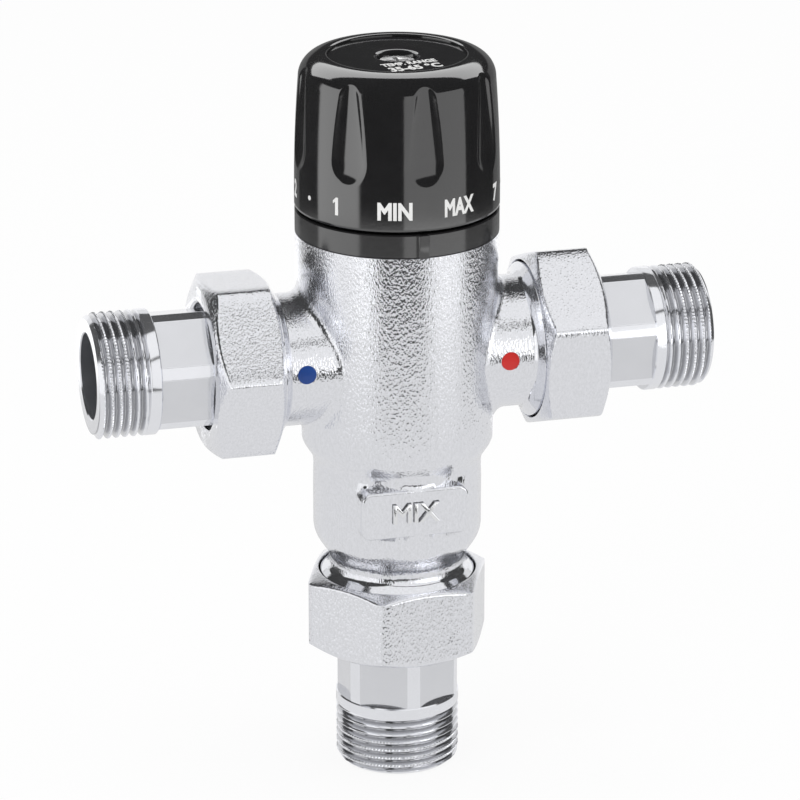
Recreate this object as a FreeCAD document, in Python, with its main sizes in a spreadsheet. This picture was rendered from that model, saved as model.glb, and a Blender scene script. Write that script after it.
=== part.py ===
import FreeCAD, Part
import os
import re

import Sketcher

# Three-way mixing valve: forged body, two union inlets on X, one union outlet below, knob on top.
# Every piece is drawn about the point where the inlet axis crosses the knob's axis, or along its own
# port, and then placed. The part stands on the outlet's end face, which is the origin.

os.makedirs("parts", exist_ok=True)
doc = FreeCAD.newDocument("mixing_valve")
Vector = FreeCAD.Vector
Rotation = FreeCAD.Rotation

# Sizes in millimetres, turns in degrees. Heights and drops are taken from the axis crossing.
SIZES = {
    # pipe threads and union tails
    "thread_diameter": "26.44",
    "thread_chamfer": "1.1",
    "inlet_thread_length": "13.1",
    "outlet_thread_length": "15.4",
    "neck_step": "0.17",
    "flat_depth": "1.15",
    "tail_bore": "18.1",
    "inlet_neck_length": "13.0",
    "outlet_neck_length": "13.3",
    "tail_flange_thickness": "3.0",
    # union nuts and gaskets
    "union_diameter": "32.8",
    "inlet_union_length": "7.2",
    "outlet_union_length": "9.8",
    "gasket_thickness": "2.0",
    "gasket_margin": "0.5",
    "nut_wall": "1.5",
    "nut_lip": "2.1",
    "nut_face_step": "0.8",
    "nut_chamfer_height": "1.43",
    "nut_round_step": "1.06",
    "nut_round_height": "1.8",
    "outlet_nut_gap": "1.4",
    # body outside
    "body_diameter": "42.8",
    "body_top": "26.8",
    "barrel_draft": "1.0",
    "shoulder_room": "5.0",
    "shoulder_slope": "3.8",
    "shoulder_radius": "5.0",
    "shoulder_step": "2.5",
    "lower_length": "21.0",
    "lower_slope": "5.0",
    "lower_radius": "7.0",
    "hollow_radius": "3.5",
    "flare_step": "2.4",
    "outlet_flare_step": "1.8",
    "flare_gap": "4.6",
    "outlet_neck_run": "2.5",
    "flare_length": "1.7",
    "port_fillet": "2.4",
    "tablet_width": "23.0",
    "tablet_shift": "-0.8",
    "tablet_height": "10.4",
    "tablet_room": "11.3",
    "tablet_proud": "0.25",
    "tablet_corner": "2.0",
    "tablet_edge": "0.5",
    # body inside
    "head_step": "1.4",
    "head_seat": "11.0",
    "shutter_bore": "28.0",
    "seat_ledge": "12.0",
    "seat_step": "2.0",
    "plate_ledge": "24.0",
    "plate_step": "1.2",
    "lower_bore_drop": "44.0",
    "port_wall": "3.6",
    "window_width": "13.0",
    "window_height": "6.0",
    "window_offset": "5.6",
    # coloured plugs
    "mark_diameter": "4.0",
    "mark_depth": "1.8",
    "cold_mark_height": "1.0",
    "hot_mark_height": "0.1",
    "cold_mark_inset": "3.1",
    "hot_mark_inset": "5.1",
    # knob and index ring
    "ring_height": "5.1",
    "ring_room": "0.2",
    "rib_width": "2.1",
    "rib_proud": "0.5",
    "knob_gap": "0.5",
    "knob_overhang": "0.05",
    "knob_height": "32.4",
    "knob_taper": "1.35",
    "knob_side_radius": "330.0",
    "knob_edge_radius": "5.0",
    "knob_wall": "4.25",
    "knob_crown": "4.4",
    "rim_land": "0.65",
    "recess_depth": "0.7",
    "screw_room": "0.7",
    "hub_diameter": "14.0",
    "hub_gap": "1.1",
    "flute_count": "8",
    "flute_turn": "1.6",
    "flute_foot": "14.4",
    "flute_radius": "9.8",
    "flute_depth": "1.41",
    "flute_top_gap": "0.8",
    "flute_tip_radius": "2.4",
    "flute_tip_depth": "1.95",
    # bonnet, spindle and screw
    "bonnet_wall": "1.9",
    "bonnet_rise": "19.2",
    "bonnet_crown": "3.0",
    "bonnet_neck_diameter": "16.0",
    "bonnet_neck_height": "2.5",
    "cold_rim": "9.2",
    "rim_bore": "19.4",
    "rim_wall": "2.0",
    "key_width": "3.6",
    "key_proud": "1.5",
    "key_slot_start": "24.0",
    "spindle_diameter": "9.0",
    "spindle_foot": "27.0",
    "spindle_flange_diameter": "15.2",
    "spindle_flange_thickness": "2.7",
    "screw_web": "3.0",
    "drive_width": "6.6",
    "clip_thickness": "0.8",
    "clip_width": "2.4",
    "clip_groove": "0.85",
    "screw_diameter": "3.2",
    "screw_length": "9.0",
    "screw_head_diameter": "7.2",
    "screw_head_height": "2.3",
    "screw_sink": "1.0",
    "screw_slot_width": "1.0",
    "screw_slot_length": "4.6",
    "screw_slot_depth": "1.4",
    # regulating nut, cup, element, shutter
    "regulator_wall": "2.9",
    "regulator_gap": "0.6",
    "regulator_room": "4.0",
    "spring_room": "1.6",
    "regulator_ceiling": "29.5",
    "key_room": "3.0",
    "key_height": "6.0",
    "cup_inset": "1.9",
    "cup_thickness": "3.0",
    "cup_boss_diameter": "6.4",
    "cup_boss_height": "3.0",
    "pin_diameter": "3.8",
    "pin_depth": "3.0",
    "pin_socket": "1.5",
    "element_diameter": "10.0",
    "element_foot": "28.0",
    "element_flange_diameter": "12.8",
    "element_flange_thickness": "3.0",
    "element_guide_diameter": "7.2",
    "element_guide_top": "11.0",
    "shutter_length": "14.0",
    "shutter_sleeve": "23.2",
    "shutter_wall": "2.0",
    "land_height": "4.4",
    "hub_height": "3.0",
    "hub_hole_count": "6",
    "hub_hole_diameter": "3.4",
    "hub_hole_circle": "14.8",
    "hot_gap": "0.3",
    "seat_base": "2.5",
    "plate_thickness": "1.5",
    "plate_hole_diameter": "3.8",
    "plate_hole_circle": "17.0",
    "return_spring_diameter": "14.8",
    "return_wire": "1.5",
    "return_turns": "4",
    "overtravel_wire": "1.6",
    "overtravel_turns": "4",
    # seals and fits
    "seal_section": "1.9",
    "spindle_seal_section": "1.4",
    "seal_room": "0.1",
    "close_fit": "0.05",
    "running_fit": "0.08",
    "assembly_fit": "0.1",
    "free_fit": "0.3",
    # turned positions of the hexagons, seen along each port
    "cold_nut_turn": "35.1",
    "hot_nut_turn": "9.2",
    "mixed_nut_turn": "53.3",
    "cold_tail_turn": "44.7",
    "hot_tail_turn": "12.7",
    "mixed_tail_turn": "29.0",
}

dims = doc.addObject("Spreadsheet::Sheet", "dims")
for row, (alias, size) in enumerate(SIZES.items(), start=1):
    dims.set(f"A{row}", alias)
    dims.set(f"B{row}", size)
    dims.setAlias(f"B{row}", alias)
doc.recompute()

# Sizes that follow from others and from a named wall, step, gap or room, as expressions.
FOLLOWING = {
    "tail_neck_diameter": "thread_diameter - 2 * neck_step",
    "tail_flats_width": "tail_neck_diameter - 2 * flat_depth",
    "tail_flange_diameter": "union_diameter - 2 * free_fit",
    "nut_width": "union_diameter + 2 * nut_wall",
    "nut_face_diameter": "nut_width - 2 * nut_face_step",
    "nut_round_diameter": "nut_width - 2 * nut_round_step",
    "inlet_nut_start": "inlet_flare_start + flare_length + free_fit",
    "outlet_nut_start": "outlet_flare_start + outlet_nut_gap",
    "barrel_foot_diameter": "body_diameter - 2 * barrel_draft",
    "shoulder_drop": "inlet_neck_diameter / 2 + shoulder_room",
    "lower_diameter": "barrel_foot_diameter - 2 * shoulder_step",
    "lower_drop": "shoulder_drop + lower_length",
    "inlet_neck_diameter": "union_diameter - 2 * flare_step",
    "outlet_neck_diameter": "union_diameter - 2 * outlet_flare_step",
    "inlet_flare_start": "body_diameter / 2 + flare_gap",
    "outlet_flare_start": "lower_drop + lower_slope + outlet_neck_run",
    "tablet_drop": "shoulder_drop + tablet_room",
    "head_bore": "bonnet_diameter + 2 * head_step",
    "chamber_bore": "shutter_bore - 2 * seat_step",
    "lower_bore": "chamber_bore - 2 * plate_step",
    "cold_mark_reach": "inlet_flare_start - cold_mark_inset",
    "hot_mark_reach": "inlet_flare_start - hot_mark_inset",
    "ring_bore": "bonnet_diameter + 2 * ring_room",
    "knob_diameter": "body_diameter + 2 * knob_overhang",
    "knob_top_diameter": "knob_diameter - 2 * knob_taper",
    "knob_cavity": "knob_diameter - 2 * knob_wall",
    "recess_diameter": "knob_top_diameter - 2 * (knob_edge_radius + rim_land)",
    "screw_well": "screw_head_diameter + 2 * screw_room",
    "bonnet_diameter": "2 * (key_reach + free_fit + bonnet_wall)",
    "bonnet_height": "body_top + bonnet_rise",
    "bonnet_cavity": "regulator_diameter + 2 * free_fit",
    "bonnet_ceiling": "bonnet_height - bonnet_crown",
    "bonnet_neck_top": "bonnet_height + bonnet_neck_height",
    "key_reach": "regulator_diameter / 2 + key_proud",
    "regulator_diameter": "regulator_cavity + 2 * regulator_wall",
    "regulator_foot": "head_seat + rim_wall + regulator_gap",
    "regulator_top": "bonnet_ceiling - free_fit - spindle_flange_thickness - regulator_room",
    "regulator_cavity": "overtravel_spring_diameter + overtravel_wire + 2 * spring_room",
    "key_foot": "key_slot_start + key_room",
    "cup_foot": "regulator_foot + cup_inset",
    "overtravel_spring_diameter": "spindle_diameter + overtravel_wire + 2 * free_fit",
}

# Places and lengths that follow from the sizes, as expressions.
UNION_LENGTH = {"cold": "inlet_union_length", "hot": "inlet_union_length", "mixed": "outlet_union_length"}
TAIL_START = {port: f"({length} + gasket_thickness)" for port, length in UNION_LENGTH.items()}
NECK_START = {port: f"({start} + tail_flange_thickness)" for port, start in TAIL_START.items()}
NUT_LENGTH = {port: f"({start} + nut_lip)" for port, start in NECK_START.items()}
INLET_FACE = "(inlet_nut_start + inlet_union_length)"
OUTLET_FACE = "(outlet_nut_start + outlet_union_length)"
OUTLET_REACH = f"(outlet_nut_start + {NECK_START['mixed']} + outlet_neck_length + outlet_thread_length)"
KNOB_FOOT = "(body_top + ring_height + knob_gap)"
KNOB_TOP = f"({KNOB_FOOT} + knob_height)"
RECESS_FLOOR = f"({KNOB_TOP} - recess_depth)"
KNOB_CEILING = f"({RECESS_FLOOR} - knob_crown)"
SCREW_SEAT = f"({RECESS_FLOOR} - screw_sink - screw_head_height)"
SOCKET_TOP = f"({SCREW_SEAT} - screw_web)"
SPINDLE_TOP = f"({SOCKET_TOP} - free_fit)"
SCREW_TIP = f"({SPINDLE_TOP} - screw_length)"
SHUTTER_FOOT = "(-shutter_length / 2)"
SHUTTER_TOP = "(shutter_length / 2)"
SHUTTER_LAND = "(shutter_bore / 2 - running_fit)"
SEAT_TOP = f"({SHUTTER_FOOT} - hot_gap)"
SPINDLE_FLANGE_TOP = "(bonnet_ceiling - free_fit)"
SPINDLE_FLANGE_FOOT = f"({SPINDLE_FLANGE_TOP} - spindle_flange_thickness)"
CLIP_FOOT = "(bonnet_neck_top + free_fit)"
CLIP_TOP = f"({CLIP_FOOT} + clip_thickness)"
HUB_FOOT = f"({CLIP_TOP} + hub_gap)"
PIN_TOP = "(cup_foot + pin_socket)"
PIN_FOOT = "(element_guide_top - pin_depth)"
CUP_CLIP_TOP = "(cup_foot - assembly_fit)"
CUP_CLIP_FOOT = f"({CUP_CLIP_TOP} - clip_thickness)"


SIZE_NAME = re.compile(r"\b(?!sqrt\b|cos\b|sin\b|tan\b)[a-z][a-z_]{2,}\b")


def written_out(found):
    """A following size in brackets; any other size as it stands."""
    name = found[0]
    return f"({FOLLOWING[name]})" if name in FOLLOWING else name


def bound(text):
    """Write out the following sizes in an expression and point every size at the sheet."""
    while any(name in FOLLOWING for name in SIZE_NAME.findall(text)):
        text = SIZE_NAME.sub(written_out, text)
    return SIZE_NAME.sub(r"dims.\g<0>", text)


def number(text):
    """Present value of an expression."""
    return float(dims.evalExpression(bound(text)))


def new_body(label):
    body = doc.addObject("PartDesign::Body", label)
    body.Label = label
    return body


def new_sketch(body, name, plane, offset=None, along="z"):
    """Sketch on one of the body's own origin planes, moved along the named sketch axis."""
    sketch = body.newObject("Sketcher::SketchObject", name)
    support = next(item for item in body.Origin.OriginFeatures if item.Role == plane)
    sketch.AttachmentSupport = (support, [""])
    sketch.MapMode = "FlatFace"
    if offset:
        sketch.setExpression(f"AttachmentOffset.Base.{along}", bound(offset))
    return sketch


def dimension(sketch, kind, geometry, point, text):
    index = sketch.addConstraint(Sketcher.Constraint(kind, geometry, point, number(text)))
    sketch.setExpression(f"Constraints[{index}]", bound(text))


def side(start, end, radius):
    """Straight side, or an arc bulging to the right of its direction when a radius is given."""
    if radius is None:
        return Part.LineSegment(start, end)
    half = (end - start) * 0.5
    rise = (radius ** 2 - half.Length ** 2) ** 0.5
    left = Vector(-half.y, half.x, 0).normalize()
    centre = start + half + left * rise
    middle = centre - left * radius
    return Part.Arc(start, middle, end)


def outline(sketch, corners):
    """Closed outline whose corners are (across, up) expressions, with an arc's radius as a third item.

    A side that keeps the last corner's across or up is held vertical or horizontal instead.
    """
    first = sketch.GeometryCount
    places = [Vector(number(corner[0]), number(corner[1]), 0) for corner in corners]
    count = len(corners)
    arcs = {}
    for index, corner in enumerate(corners):
        radius = number(corner[2]) if len(corner) > 2 else None
        sketch.addGeometry(side(places[index], places[(index + 1) % count], radius), False)
        if radius is not None:
            arcs[index] = corner[2]
    for index in range(count):
        following = (index + 1) % count
        sketch.addConstraint(Sketcher.Constraint("Coincident", first + index, 2, first + following, 1))
    for index, corner in enumerate(corners):
        last = corners[index - 1]
        straight = index > 0 and index - 1 not in arcs
        if straight and last[0] == corner[0]:
            sketch.addConstraint(Sketcher.Constraint("Vertical", first + index - 1))
        else:
            dimension(sketch, "DistanceX", first + index, 1, corner[0])
        if straight and last[1] == corner[1]:
            sketch.addConstraint(Sketcher.Constraint("Horizontal", first + index - 1))
        else:
            dimension(sketch, "DistanceY", first + index, 1, corner[1])
    for index, radius in arcs.items():
        constraint = sketch.addConstraint(Sketcher.Constraint("Radius", first + index, number(radius)))
        sketch.setExpression(f"Constraints[{constraint}]", bound(radius))


def circle(sketch, across, up, diameter):
    place = Vector(number(across), number(up), 0)
    index = sketch.addGeometry(Part.Circle(place, Vector(0, 0, 1), number(diameter) / 2), False)
    dimension(sketch, "DistanceX", index, 3, across)
    dimension(sketch, "DistanceY", index, 3, up)
    constraint = sketch.addConstraint(Sketcher.Constraint("Diameter", index, number(diameter)))
    sketch.setExpression(f"Constraints[{constraint}]", bound(diameter))


def turned(body, name, corners, kind="Revolution", axis="V_Axis"):
    """Revolution or Groove of an outline drawn on the body's XZ plane."""
    sketch = new_sketch(body, f"{name}_outline", "XZ_Plane")
    outline(sketch, corners)
    feature = body.newObject(f"PartDesign::{kind}", name)
    feature.Profile = sketch
    feature.ReferenceAxis = (sketch, [axis])
    feature.Angle = 360
    sketch.Visibility = False
    doc.recompute()
    return feature


def cut_to(body, name, sketch, length):
    """Pocket from a sketch against its normal, through the given length."""
    feature = body.newObject("PartDesign::Pocket", name)
    feature.Profile = sketch
    feature.setExpression("Length", bound(length))
    doc.recompute()
    return feature


def around(body, name, features, sketch, count):
    """Copies of some features spread round the sketch's upright axis."""
    pattern = body.newObject("PartDesign::PolarPattern", name)
    pattern.Originals = features
    pattern.Axis = (sketch, ["V_Axis"])
    pattern.Angle = 360
    pattern.setExpression("Occurrences", bound(count))
    body.Tip = pattern
    doc.recompute()
    return pattern


def rings(shape, radius, height):
    """Names of the circular edges of that radius, at that height, about the upright axis."""
    names = []
    for index, edge in enumerate(shape.Edges, start=1):
        curve = edge.Curve
        if isinstance(curve, Part.Circle) and abs(curve.Radius - radius) < 1e-4:
            if abs(curve.Center.z - height) < 1e-4 and Vector(curve.Center.x, curve.Center.y, 0).Length < 1e-4:
                names.append(f"Edge{index}")
    return names


def rounded(body, name, base, edges, radius):
    feature = body.newObject("PartDesign::Fillet", name)
    feature.Base = (base, edges)
    feature.setExpression("Radius", bound(radius))
    doc.recompute()
    return feature


def hexagon(sketch, across_flats):
    corner = f"({across_flats}) / sqrt(3)"
    half = f"({across_flats}) / 2"
    outline(sketch, [
        (corner, "0"),
        (f"{corner} / 2", half),
        (f"-{corner} / 2", half),
        (f"-{corner}", "0"),
        (f"-{corner} / 2", f"-{half}"),
        (f"{corner} / 2", f"-{half}"),
    ])


def raise_to_crossing(piece):
    """Set a piece that is drawn about the axis crossing at its height above the outlet's end."""
    piece.setExpression("Placement.Base.z", bound(OUTLET_REACH))


PORTS = {
    "cold": (Rotation(Vector(0, 1, 0), -90), "-inlet_nut_start", None),
    "hot": (Rotation(Vector(0, 1, 0), 90), "inlet_nut_start", None),
    "mixed": (Rotation(Vector(1, 0, 0), 180), None, "outlet_nut_start"),
}


def place_on_port(piece, port, turn="0"):
    """Lay a piece that is drawn up its own Z axis along a port, from the start of the port's nut."""
    facing, across, below = PORTS[port]
    piece.Placement = FreeCAD.Placement(Vector(), facing * Rotation(Vector(0, 0, 1), number(turn)))
    if across:
        piece.setExpression("Placement.Base.x", bound(across))
        piece.setExpression("Placement.Base.z", bound(OUTLET_REACH))
    else:
        piece.setExpression("Placement.Base.z", bound(f"{OUTLET_REACH} - {below}"))


def make_body():
    body = new_body("body")
    barrel = turned(body, "barrel", [
        ("0", f"-{OUTLET_FACE}"),
        ("union_diameter / 2", f"-{OUTLET_FACE}"),
        ("union_diameter / 2", "-(outlet_flare_start + flare_length)"),
        ("outlet_neck_diameter / 2", "-outlet_flare_start"),
        ("outlet_neck_diameter / 2", "-(lower_drop + lower_slope)"),
        ("lower_diameter / 2", "-lower_drop"),
        ("lower_diameter / 2", "-(shoulder_drop + shoulder_slope)"),
        ("barrel_foot_diameter / 2", "-shoulder_drop"),
        ("body_diameter / 2", "body_top"),
        ("0", "body_top"),
    ])
    shoulder = rings(barrel.Shape, number("barrel_foot_diameter / 2"), number("-shoulder_drop"))
    barrel = rounded(body, "shoulder_round", barrel, shoulder, "shoulder_radius")
    lower = rings(barrel.Shape, number("lower_diameter / 2"), number("-lower_drop"))
    barrel = rounded(body, "lower_round", barrel, lower, "lower_radius")
    hollows = rings(barrel.Shape, number("lower_diameter / 2"), number("-(shoulder_drop + shoulder_slope)"))
    hollows += rings(barrel.Shape, number("outlet_neck_diameter / 2"), number("-(lower_drop + lower_slope)"))
    rounded(body, "hollow_round", barrel, hollows, "hollow_radius")

    ports = turned(body, "ports", [
        (f"-{INLET_FACE}", "0"),
        (INLET_FACE, "0"),
        (INLET_FACE, "union_diameter / 2"),
        ("inlet_flare_start + flare_length", "union_diameter / 2"),
        ("inlet_flare_start", "inlet_neck_diameter / 2"),
        ("-inlet_flare_start", "inlet_neck_diameter / 2"),
        ("-(inlet_flare_start + flare_length)", "union_diameter / 2"),
        (f"-{INLET_FACE}", "union_diameter / 2"),
    ], axis="H_Axis")
    saddles = [
        f"Edge{index}" for index, edge in enumerate(ports.Shape.Edges, start=1)
        if isinstance(edge.Curve, Part.BSplineCurve)
    ]
    rounded(body, "port_round", ports, saddles, "port_fillet")

    plate = new_sketch(body, "tablet_outline", "XZ_Plane")
    outline(plate, [
        ("tablet_shift - tablet_width / 2", "-tablet_drop - tablet_height / 2"),
        ("tablet_shift + tablet_width / 2", "-tablet_drop - tablet_height / 2"),
        ("tablet_shift + tablet_width / 2", "-tablet_drop + tablet_height / 2"),
        ("tablet_shift - tablet_width / 2", "-tablet_drop + tablet_height / 2"),
    ])
    tablet = body.newObject("PartDesign::Pad", "tablet")
    tablet.Profile = plate
    tablet.setExpression("Length", bound("lower_diameter / 2 + tablet_proud"))
    plate.Visibility = False
    doc.recompute()
    face = number("-(lower_diameter / 2 + tablet_proud)")
    corners = [
        f"Edge{index}" for index, edge in enumerate(tablet.Shape.Edges, start=1)
        if len(edge.Vertexes) == 2 and abs(edge.tangentAt(edge.FirstParameter).y) > 0.999
        and abs(min(vertex.Y for vertex in edge.Vertexes) - face) < 1e-4
    ]
    tablet = rounded(body, "tablet_corners", tablet, corners, "tablet_corner")
    rim = [
        f"Edge{index}" for index, edge in enumerate(tablet.Shape.Edges, start=1)
        if all(abs(vertex.Y - face) < 1e-4 for vertex in edge.Vertexes)
    ]
    rounded(body, "tablet_rim", tablet, rim, "tablet_edge")

    turned(body, "bore", [
        ("0", f"-{OUTLET_FACE} - free_fit"),
        ("tail_bore / 2", f"-{OUTLET_FACE} - free_fit"),
        ("tail_bore / 2", "-lower_bore_drop"),
        ("lower_bore / 2", "-lower_bore_drop"),
        ("lower_bore / 2", "-plate_ledge"),
        ("chamber_bore / 2", "-plate_ledge"),
        ("chamber_bore / 2", "-seat_ledge"),
        ("shutter_bore / 2", "-seat_ledge"),
        ("shutter_bore / 2", "head_seat"),
        ("head_bore / 2", "head_seat"),
        ("head_bore / 2", "body_top + free_fit"),
        ("0", "body_top + free_fit"),
    ], "Groove")
    blind_end = "(shutter_bore / 2 + port_wall)"
    for name, sign in (("cold_bore", "-"), ("hot_bore", "")):
        near = f"{sign}{blind_end}"
        far = f"{sign}({INLET_FACE} + free_fit)"
        ends = [near, far] if sign == "" else [far, near]
        turned(body, name, [
            (ends[0], "0"), (ends[1], "0"), (ends[1], "tail_bore / 2"), (ends[0], "tail_bore / 2"),
        ], "Groove", "H_Axis")
    inner_end = "(shutter_bore / 2 - port_wall)"
    for name, start, middle in (("cold_window", f"-{inner_end}", "window_offset"),
                                ("hot_window", blind_end, "-window_offset")):
        window = new_sketch(body, f"{name}_outline", "YZ_Plane", start)
        outline(window, [
            ("-window_width / 2", f"{middle} - window_height / 2"),
            ("window_width / 2", f"{middle} - window_height / 2"),
            ("window_width / 2", f"{middle} + window_height / 2"),
            ("-window_width / 2", f"{middle} + window_height / 2"),
        ])
        cut_to(body, name, window, f"{blind_end} - {inner_end}")
    plugs = new_sketch(body, "plug_holes_outline", "XZ_Plane", "inlet_neck_diameter / 2 - mark_depth")
    circle(plugs, "-cold_mark_reach", "cold_mark_height", "mark_diameter + 2 * close_fit")
    circle(plugs, "hot_mark_reach", "hot_mark_height", "mark_diameter + 2 * close_fit")
    holes = cut_to(body, "plug_holes", plugs, "mark_depth + port_fillet")
    holes.Reversed = True
    raise_to_crossing(body)
    return body


def make_mark(label, reach, height):
    plug = doc.addObject("Part::Cylinder", label)
    plug.Label = label
    plug.setExpression("Radius", bound("mark_diameter / 2"))
    plug.setExpression("Height", bound("mark_depth + close_fit"))
    plug.Placement = FreeCAD.Placement(Vector(), Rotation(Vector(1, 0, 0), 90))
    plug.setExpression("Placement.Base.x", bound(reach))
    plug.setExpression("Placement.Base.y", bound("-(inlet_neck_diameter / 2 - mark_depth)"))
    plug.setExpression("Placement.Base.z", bound(f"{OUTLET_REACH} + {height}"))
    return plug


def make_nut(port):
    body = new_body(f"{port}_nut")
    length = NUT_LENGTH[port]
    sides = new_sketch(body, "hexagon", "XY_Plane")
    hexagon(sides, "nut_width")
    block = body.newObject("PartDesign::Pad", "block")
    block.Profile = sides
    block.setExpression("Length", bound(length))
    sides.Visibility = False
    doc.recompute()
    clear = "nut_width"
    slope = "nut_chamfer_height / (nut_width / sqrt(3) - nut_face_diameter / 2)"
    turned(body, "chamfer", [
        ("nut_face_diameter / 2", "0"),
        ("nut_face_diameter / 2 - free_fit", f"-free_fit * ({slope})"),
        (clear, f"-free_fit * ({slope})"),
        (clear, f"({clear} - nut_face_diameter / 2) * ({slope})"),
    ], "Groove")
    turned(body, "round_end", [
        ("nut_round_diameter / 2", f"{length} + free_fit"),
        ("nut_round_diameter / 2", length),
        ("nut_width / sqrt(3)", f"{length} - nut_round_height"),
        (clear, f"{length} - nut_round_height"),
        (clear, f"{length} + free_fit"),
    ], "Groove")
    turned(body, "bore", [
        ("0", "-free_fit"),
        ("union_diameter / 2 + free_fit", "-free_fit"),
        ("union_diameter / 2 + free_fit", f"{length} - nut_lip"),
        ("tail_neck_diameter / 2 + free_fit", f"{length} - nut_lip"),
        ("tail_neck_diameter / 2 + free_fit", f"{length} + free_fit"),
        ("0", f"{length} + free_fit"),
    ], "Groove")
    place_on_port(body, port, f"{port}_nut_turn")
    return body


def make_gasket(port):
    body = new_body(f"{port}_gasket")
    bore = "tail_bore / 2 + gasket_margin"
    turned(body, "washer", [
        (bore, UNION_LENGTH[port]),
        ("tail_flange_diameter / 2", UNION_LENGTH[port]),
        ("tail_flange_diameter / 2", TAIL_START[port]),
        (bore, TAIL_START[port]),
    ])
    place_on_port(body, port)
    return body


def make_tail(port, neck, thread):
    """Union tail: flange, neck with six milled flats, plain collar and male pipe thread."""
    body = new_body(f"{port}_tail")
    ledge = f"({NECK_START[port]} + {neck})"
    end = f"({ledge} + {thread})"
    turned(body, "blank", [
        ("tail_bore / 2", TAIL_START[port]),
        ("tail_flange_diameter / 2", TAIL_START[port]),
        ("tail_flange_diameter / 2", NECK_START[port]),
        ("tail_neck_diameter / 2", NECK_START[port]),
        ("tail_neck_diameter / 2", ledge),
        ("thread_diameter / 2", ledge),
        ("thread_diameter / 2", f"{end} - thread_chamfer"),
        ("thread_diameter / 2 - thread_chamfer", end),
        ("tail_bore / 2", end),
    ])
    flats = new_sketch(body, "flats_outline", "XY_Plane", ledge)
    hexagon(flats, "tail_flats_width")
    circle(flats, "0", "0", "2 * thread_diameter")
    cut_to(body, "flats", flats, neck)
    place_on_port(body, port, f"{port}_tail_turn")
    return body


def make_index_ring():
    body = new_body("index_ring")
    top = "body_top + ring_height"
    turned(body, "ring", [
        ("ring_bore / 2", "body_top"),
        ("body_diameter / 2", "body_top"),
        ("body_diameter / 2", top),
        ("ring_bore / 2", top),
    ])
    foot = new_sketch(body, "rib_outline", "XY_Plane", "body_top")
    outline(foot, [
        ("-rib_width / 2", "-body_diameter / 2 - rib_proud"),
        ("rib_width / 2", "-body_diameter / 2 - rib_proud"),
        ("rib_width / 2", "-ring_bore / 2 - rib_width"),
        ("-rib_width / 2", "-ring_bore / 2 - rib_width"),
    ])
    rib = body.newObject("PartDesign::Pad", "rib")
    rib.Profile = foot
    rib.setExpression("Length", bound("ring_height"))
    foot.Visibility = False
    raise_to_crossing(body)
    return body


def drive_outline(sketch, room):
    """Round shank with two flats, grown by the given room."""
    flat = f"drive_width / 2 + {room}"
    reach = f"sqrt((spindle_diameter / 2 + {room})^2 - ({flat})^2)"
    radius = f"spindle_diameter / 2 + {room}"
    outline(sketch, [
        (reach, f"-({flat})", radius),
        (reach, flat),
        (f"-{reach}", flat, radius),
        (f"-{reach}", f"-({flat})"),
    ])


def make_knob():
    body = new_body("knob")
    shell = turned(body, "shell", [
        ("knob_cavity / 2", KNOB_FOOT),
        ("knob_diameter / 2", KNOB_FOOT, "knob_side_radius"),
        ("knob_top_diameter / 2", KNOB_TOP),
        ("recess_diameter / 2", KNOB_TOP),
        ("recess_diameter / 2", RECESS_FLOOR),
        ("screw_well / 2", RECESS_FLOOR),
        ("screw_well / 2", SCREW_SEAT),
        ("screw_diameter / 2 + free_fit", SCREW_SEAT),
        ("screw_diameter / 2 + free_fit", HUB_FOOT),
        ("hub_diameter / 2", HUB_FOOT),
        ("hub_diameter / 2", KNOB_CEILING),
        ("knob_cavity / 2", KNOB_CEILING),
    ])
    edge = rings(shell.Shape, number("knob_top_diameter / 2"), number(KNOB_TOP))
    rounded(body, "edge_round", shell, edge, "knob_edge_radius")
    low = f"({KNOB_FOOT} + flute_foot)"
    foot_axis = "(knob_diameter / 2 - flute_depth + flute_radius)"
    tip_axis = "(knob_diameter / 2 - flute_tip_depth + flute_tip_radius)"
    ball_half = new_sketch(body, "flute_ball_outline", "YZ_Plane", f"-{foot_axis}", "x")
    outline(ball_half, [
        ("0", f"{low} - flute_radius", "flute_radius"),
        ("flute_radius", low, "flute_radius"),
        ("0", f"{low} + flute_radius"),
    ])
    ball = body.newObject("PartDesign::Groove", "flute_ball")
    ball.Profile = ball_half
    ball.ReferenceAxis = (ball_half, ["V_Axis"])
    ball.Angle = 360
    ball_half.Visibility = False
    doc.recompute()
    foot_ring = new_sketch(body, "flute_foot_outline", "XY_Plane", low)
    circle(foot_ring, "0", f"-{foot_axis}", "2 * flute_radius")
    tip_ring = new_sketch(body, "flute_tip_outline", "XY_Plane", f"{KNOB_TOP} - flute_top_gap")
    circle(tip_ring, "0", f"-{tip_axis}", "2 * flute_tip_radius")
    doc.recompute()
    taper = body.newObject("PartDesign::SubtractiveLoft", "flute_taper")
    taper.Profile = foot_ring
    taper.Sections = [tip_ring]
    taper.Ruled = True
    doc.recompute()
    axis = new_sketch(body, "knob_axis", "XZ_Plane")
    around(body, "flutes", [ball, taper], axis, "flute_count")
    socket = new_sketch(body, "socket_outline", "XY_Plane", SOCKET_TOP)
    drive_outline(socket, "assembly_fit")
    cut_to(body, "socket", socket, f"{SOCKET_TOP} - {HUB_FOOT} + free_fit")
    body.Placement = FreeCAD.Placement(Vector(), Rotation(Vector(0, 0, 1), number("flute_turn")))
    raise_to_crossing(body)
    return body


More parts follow.
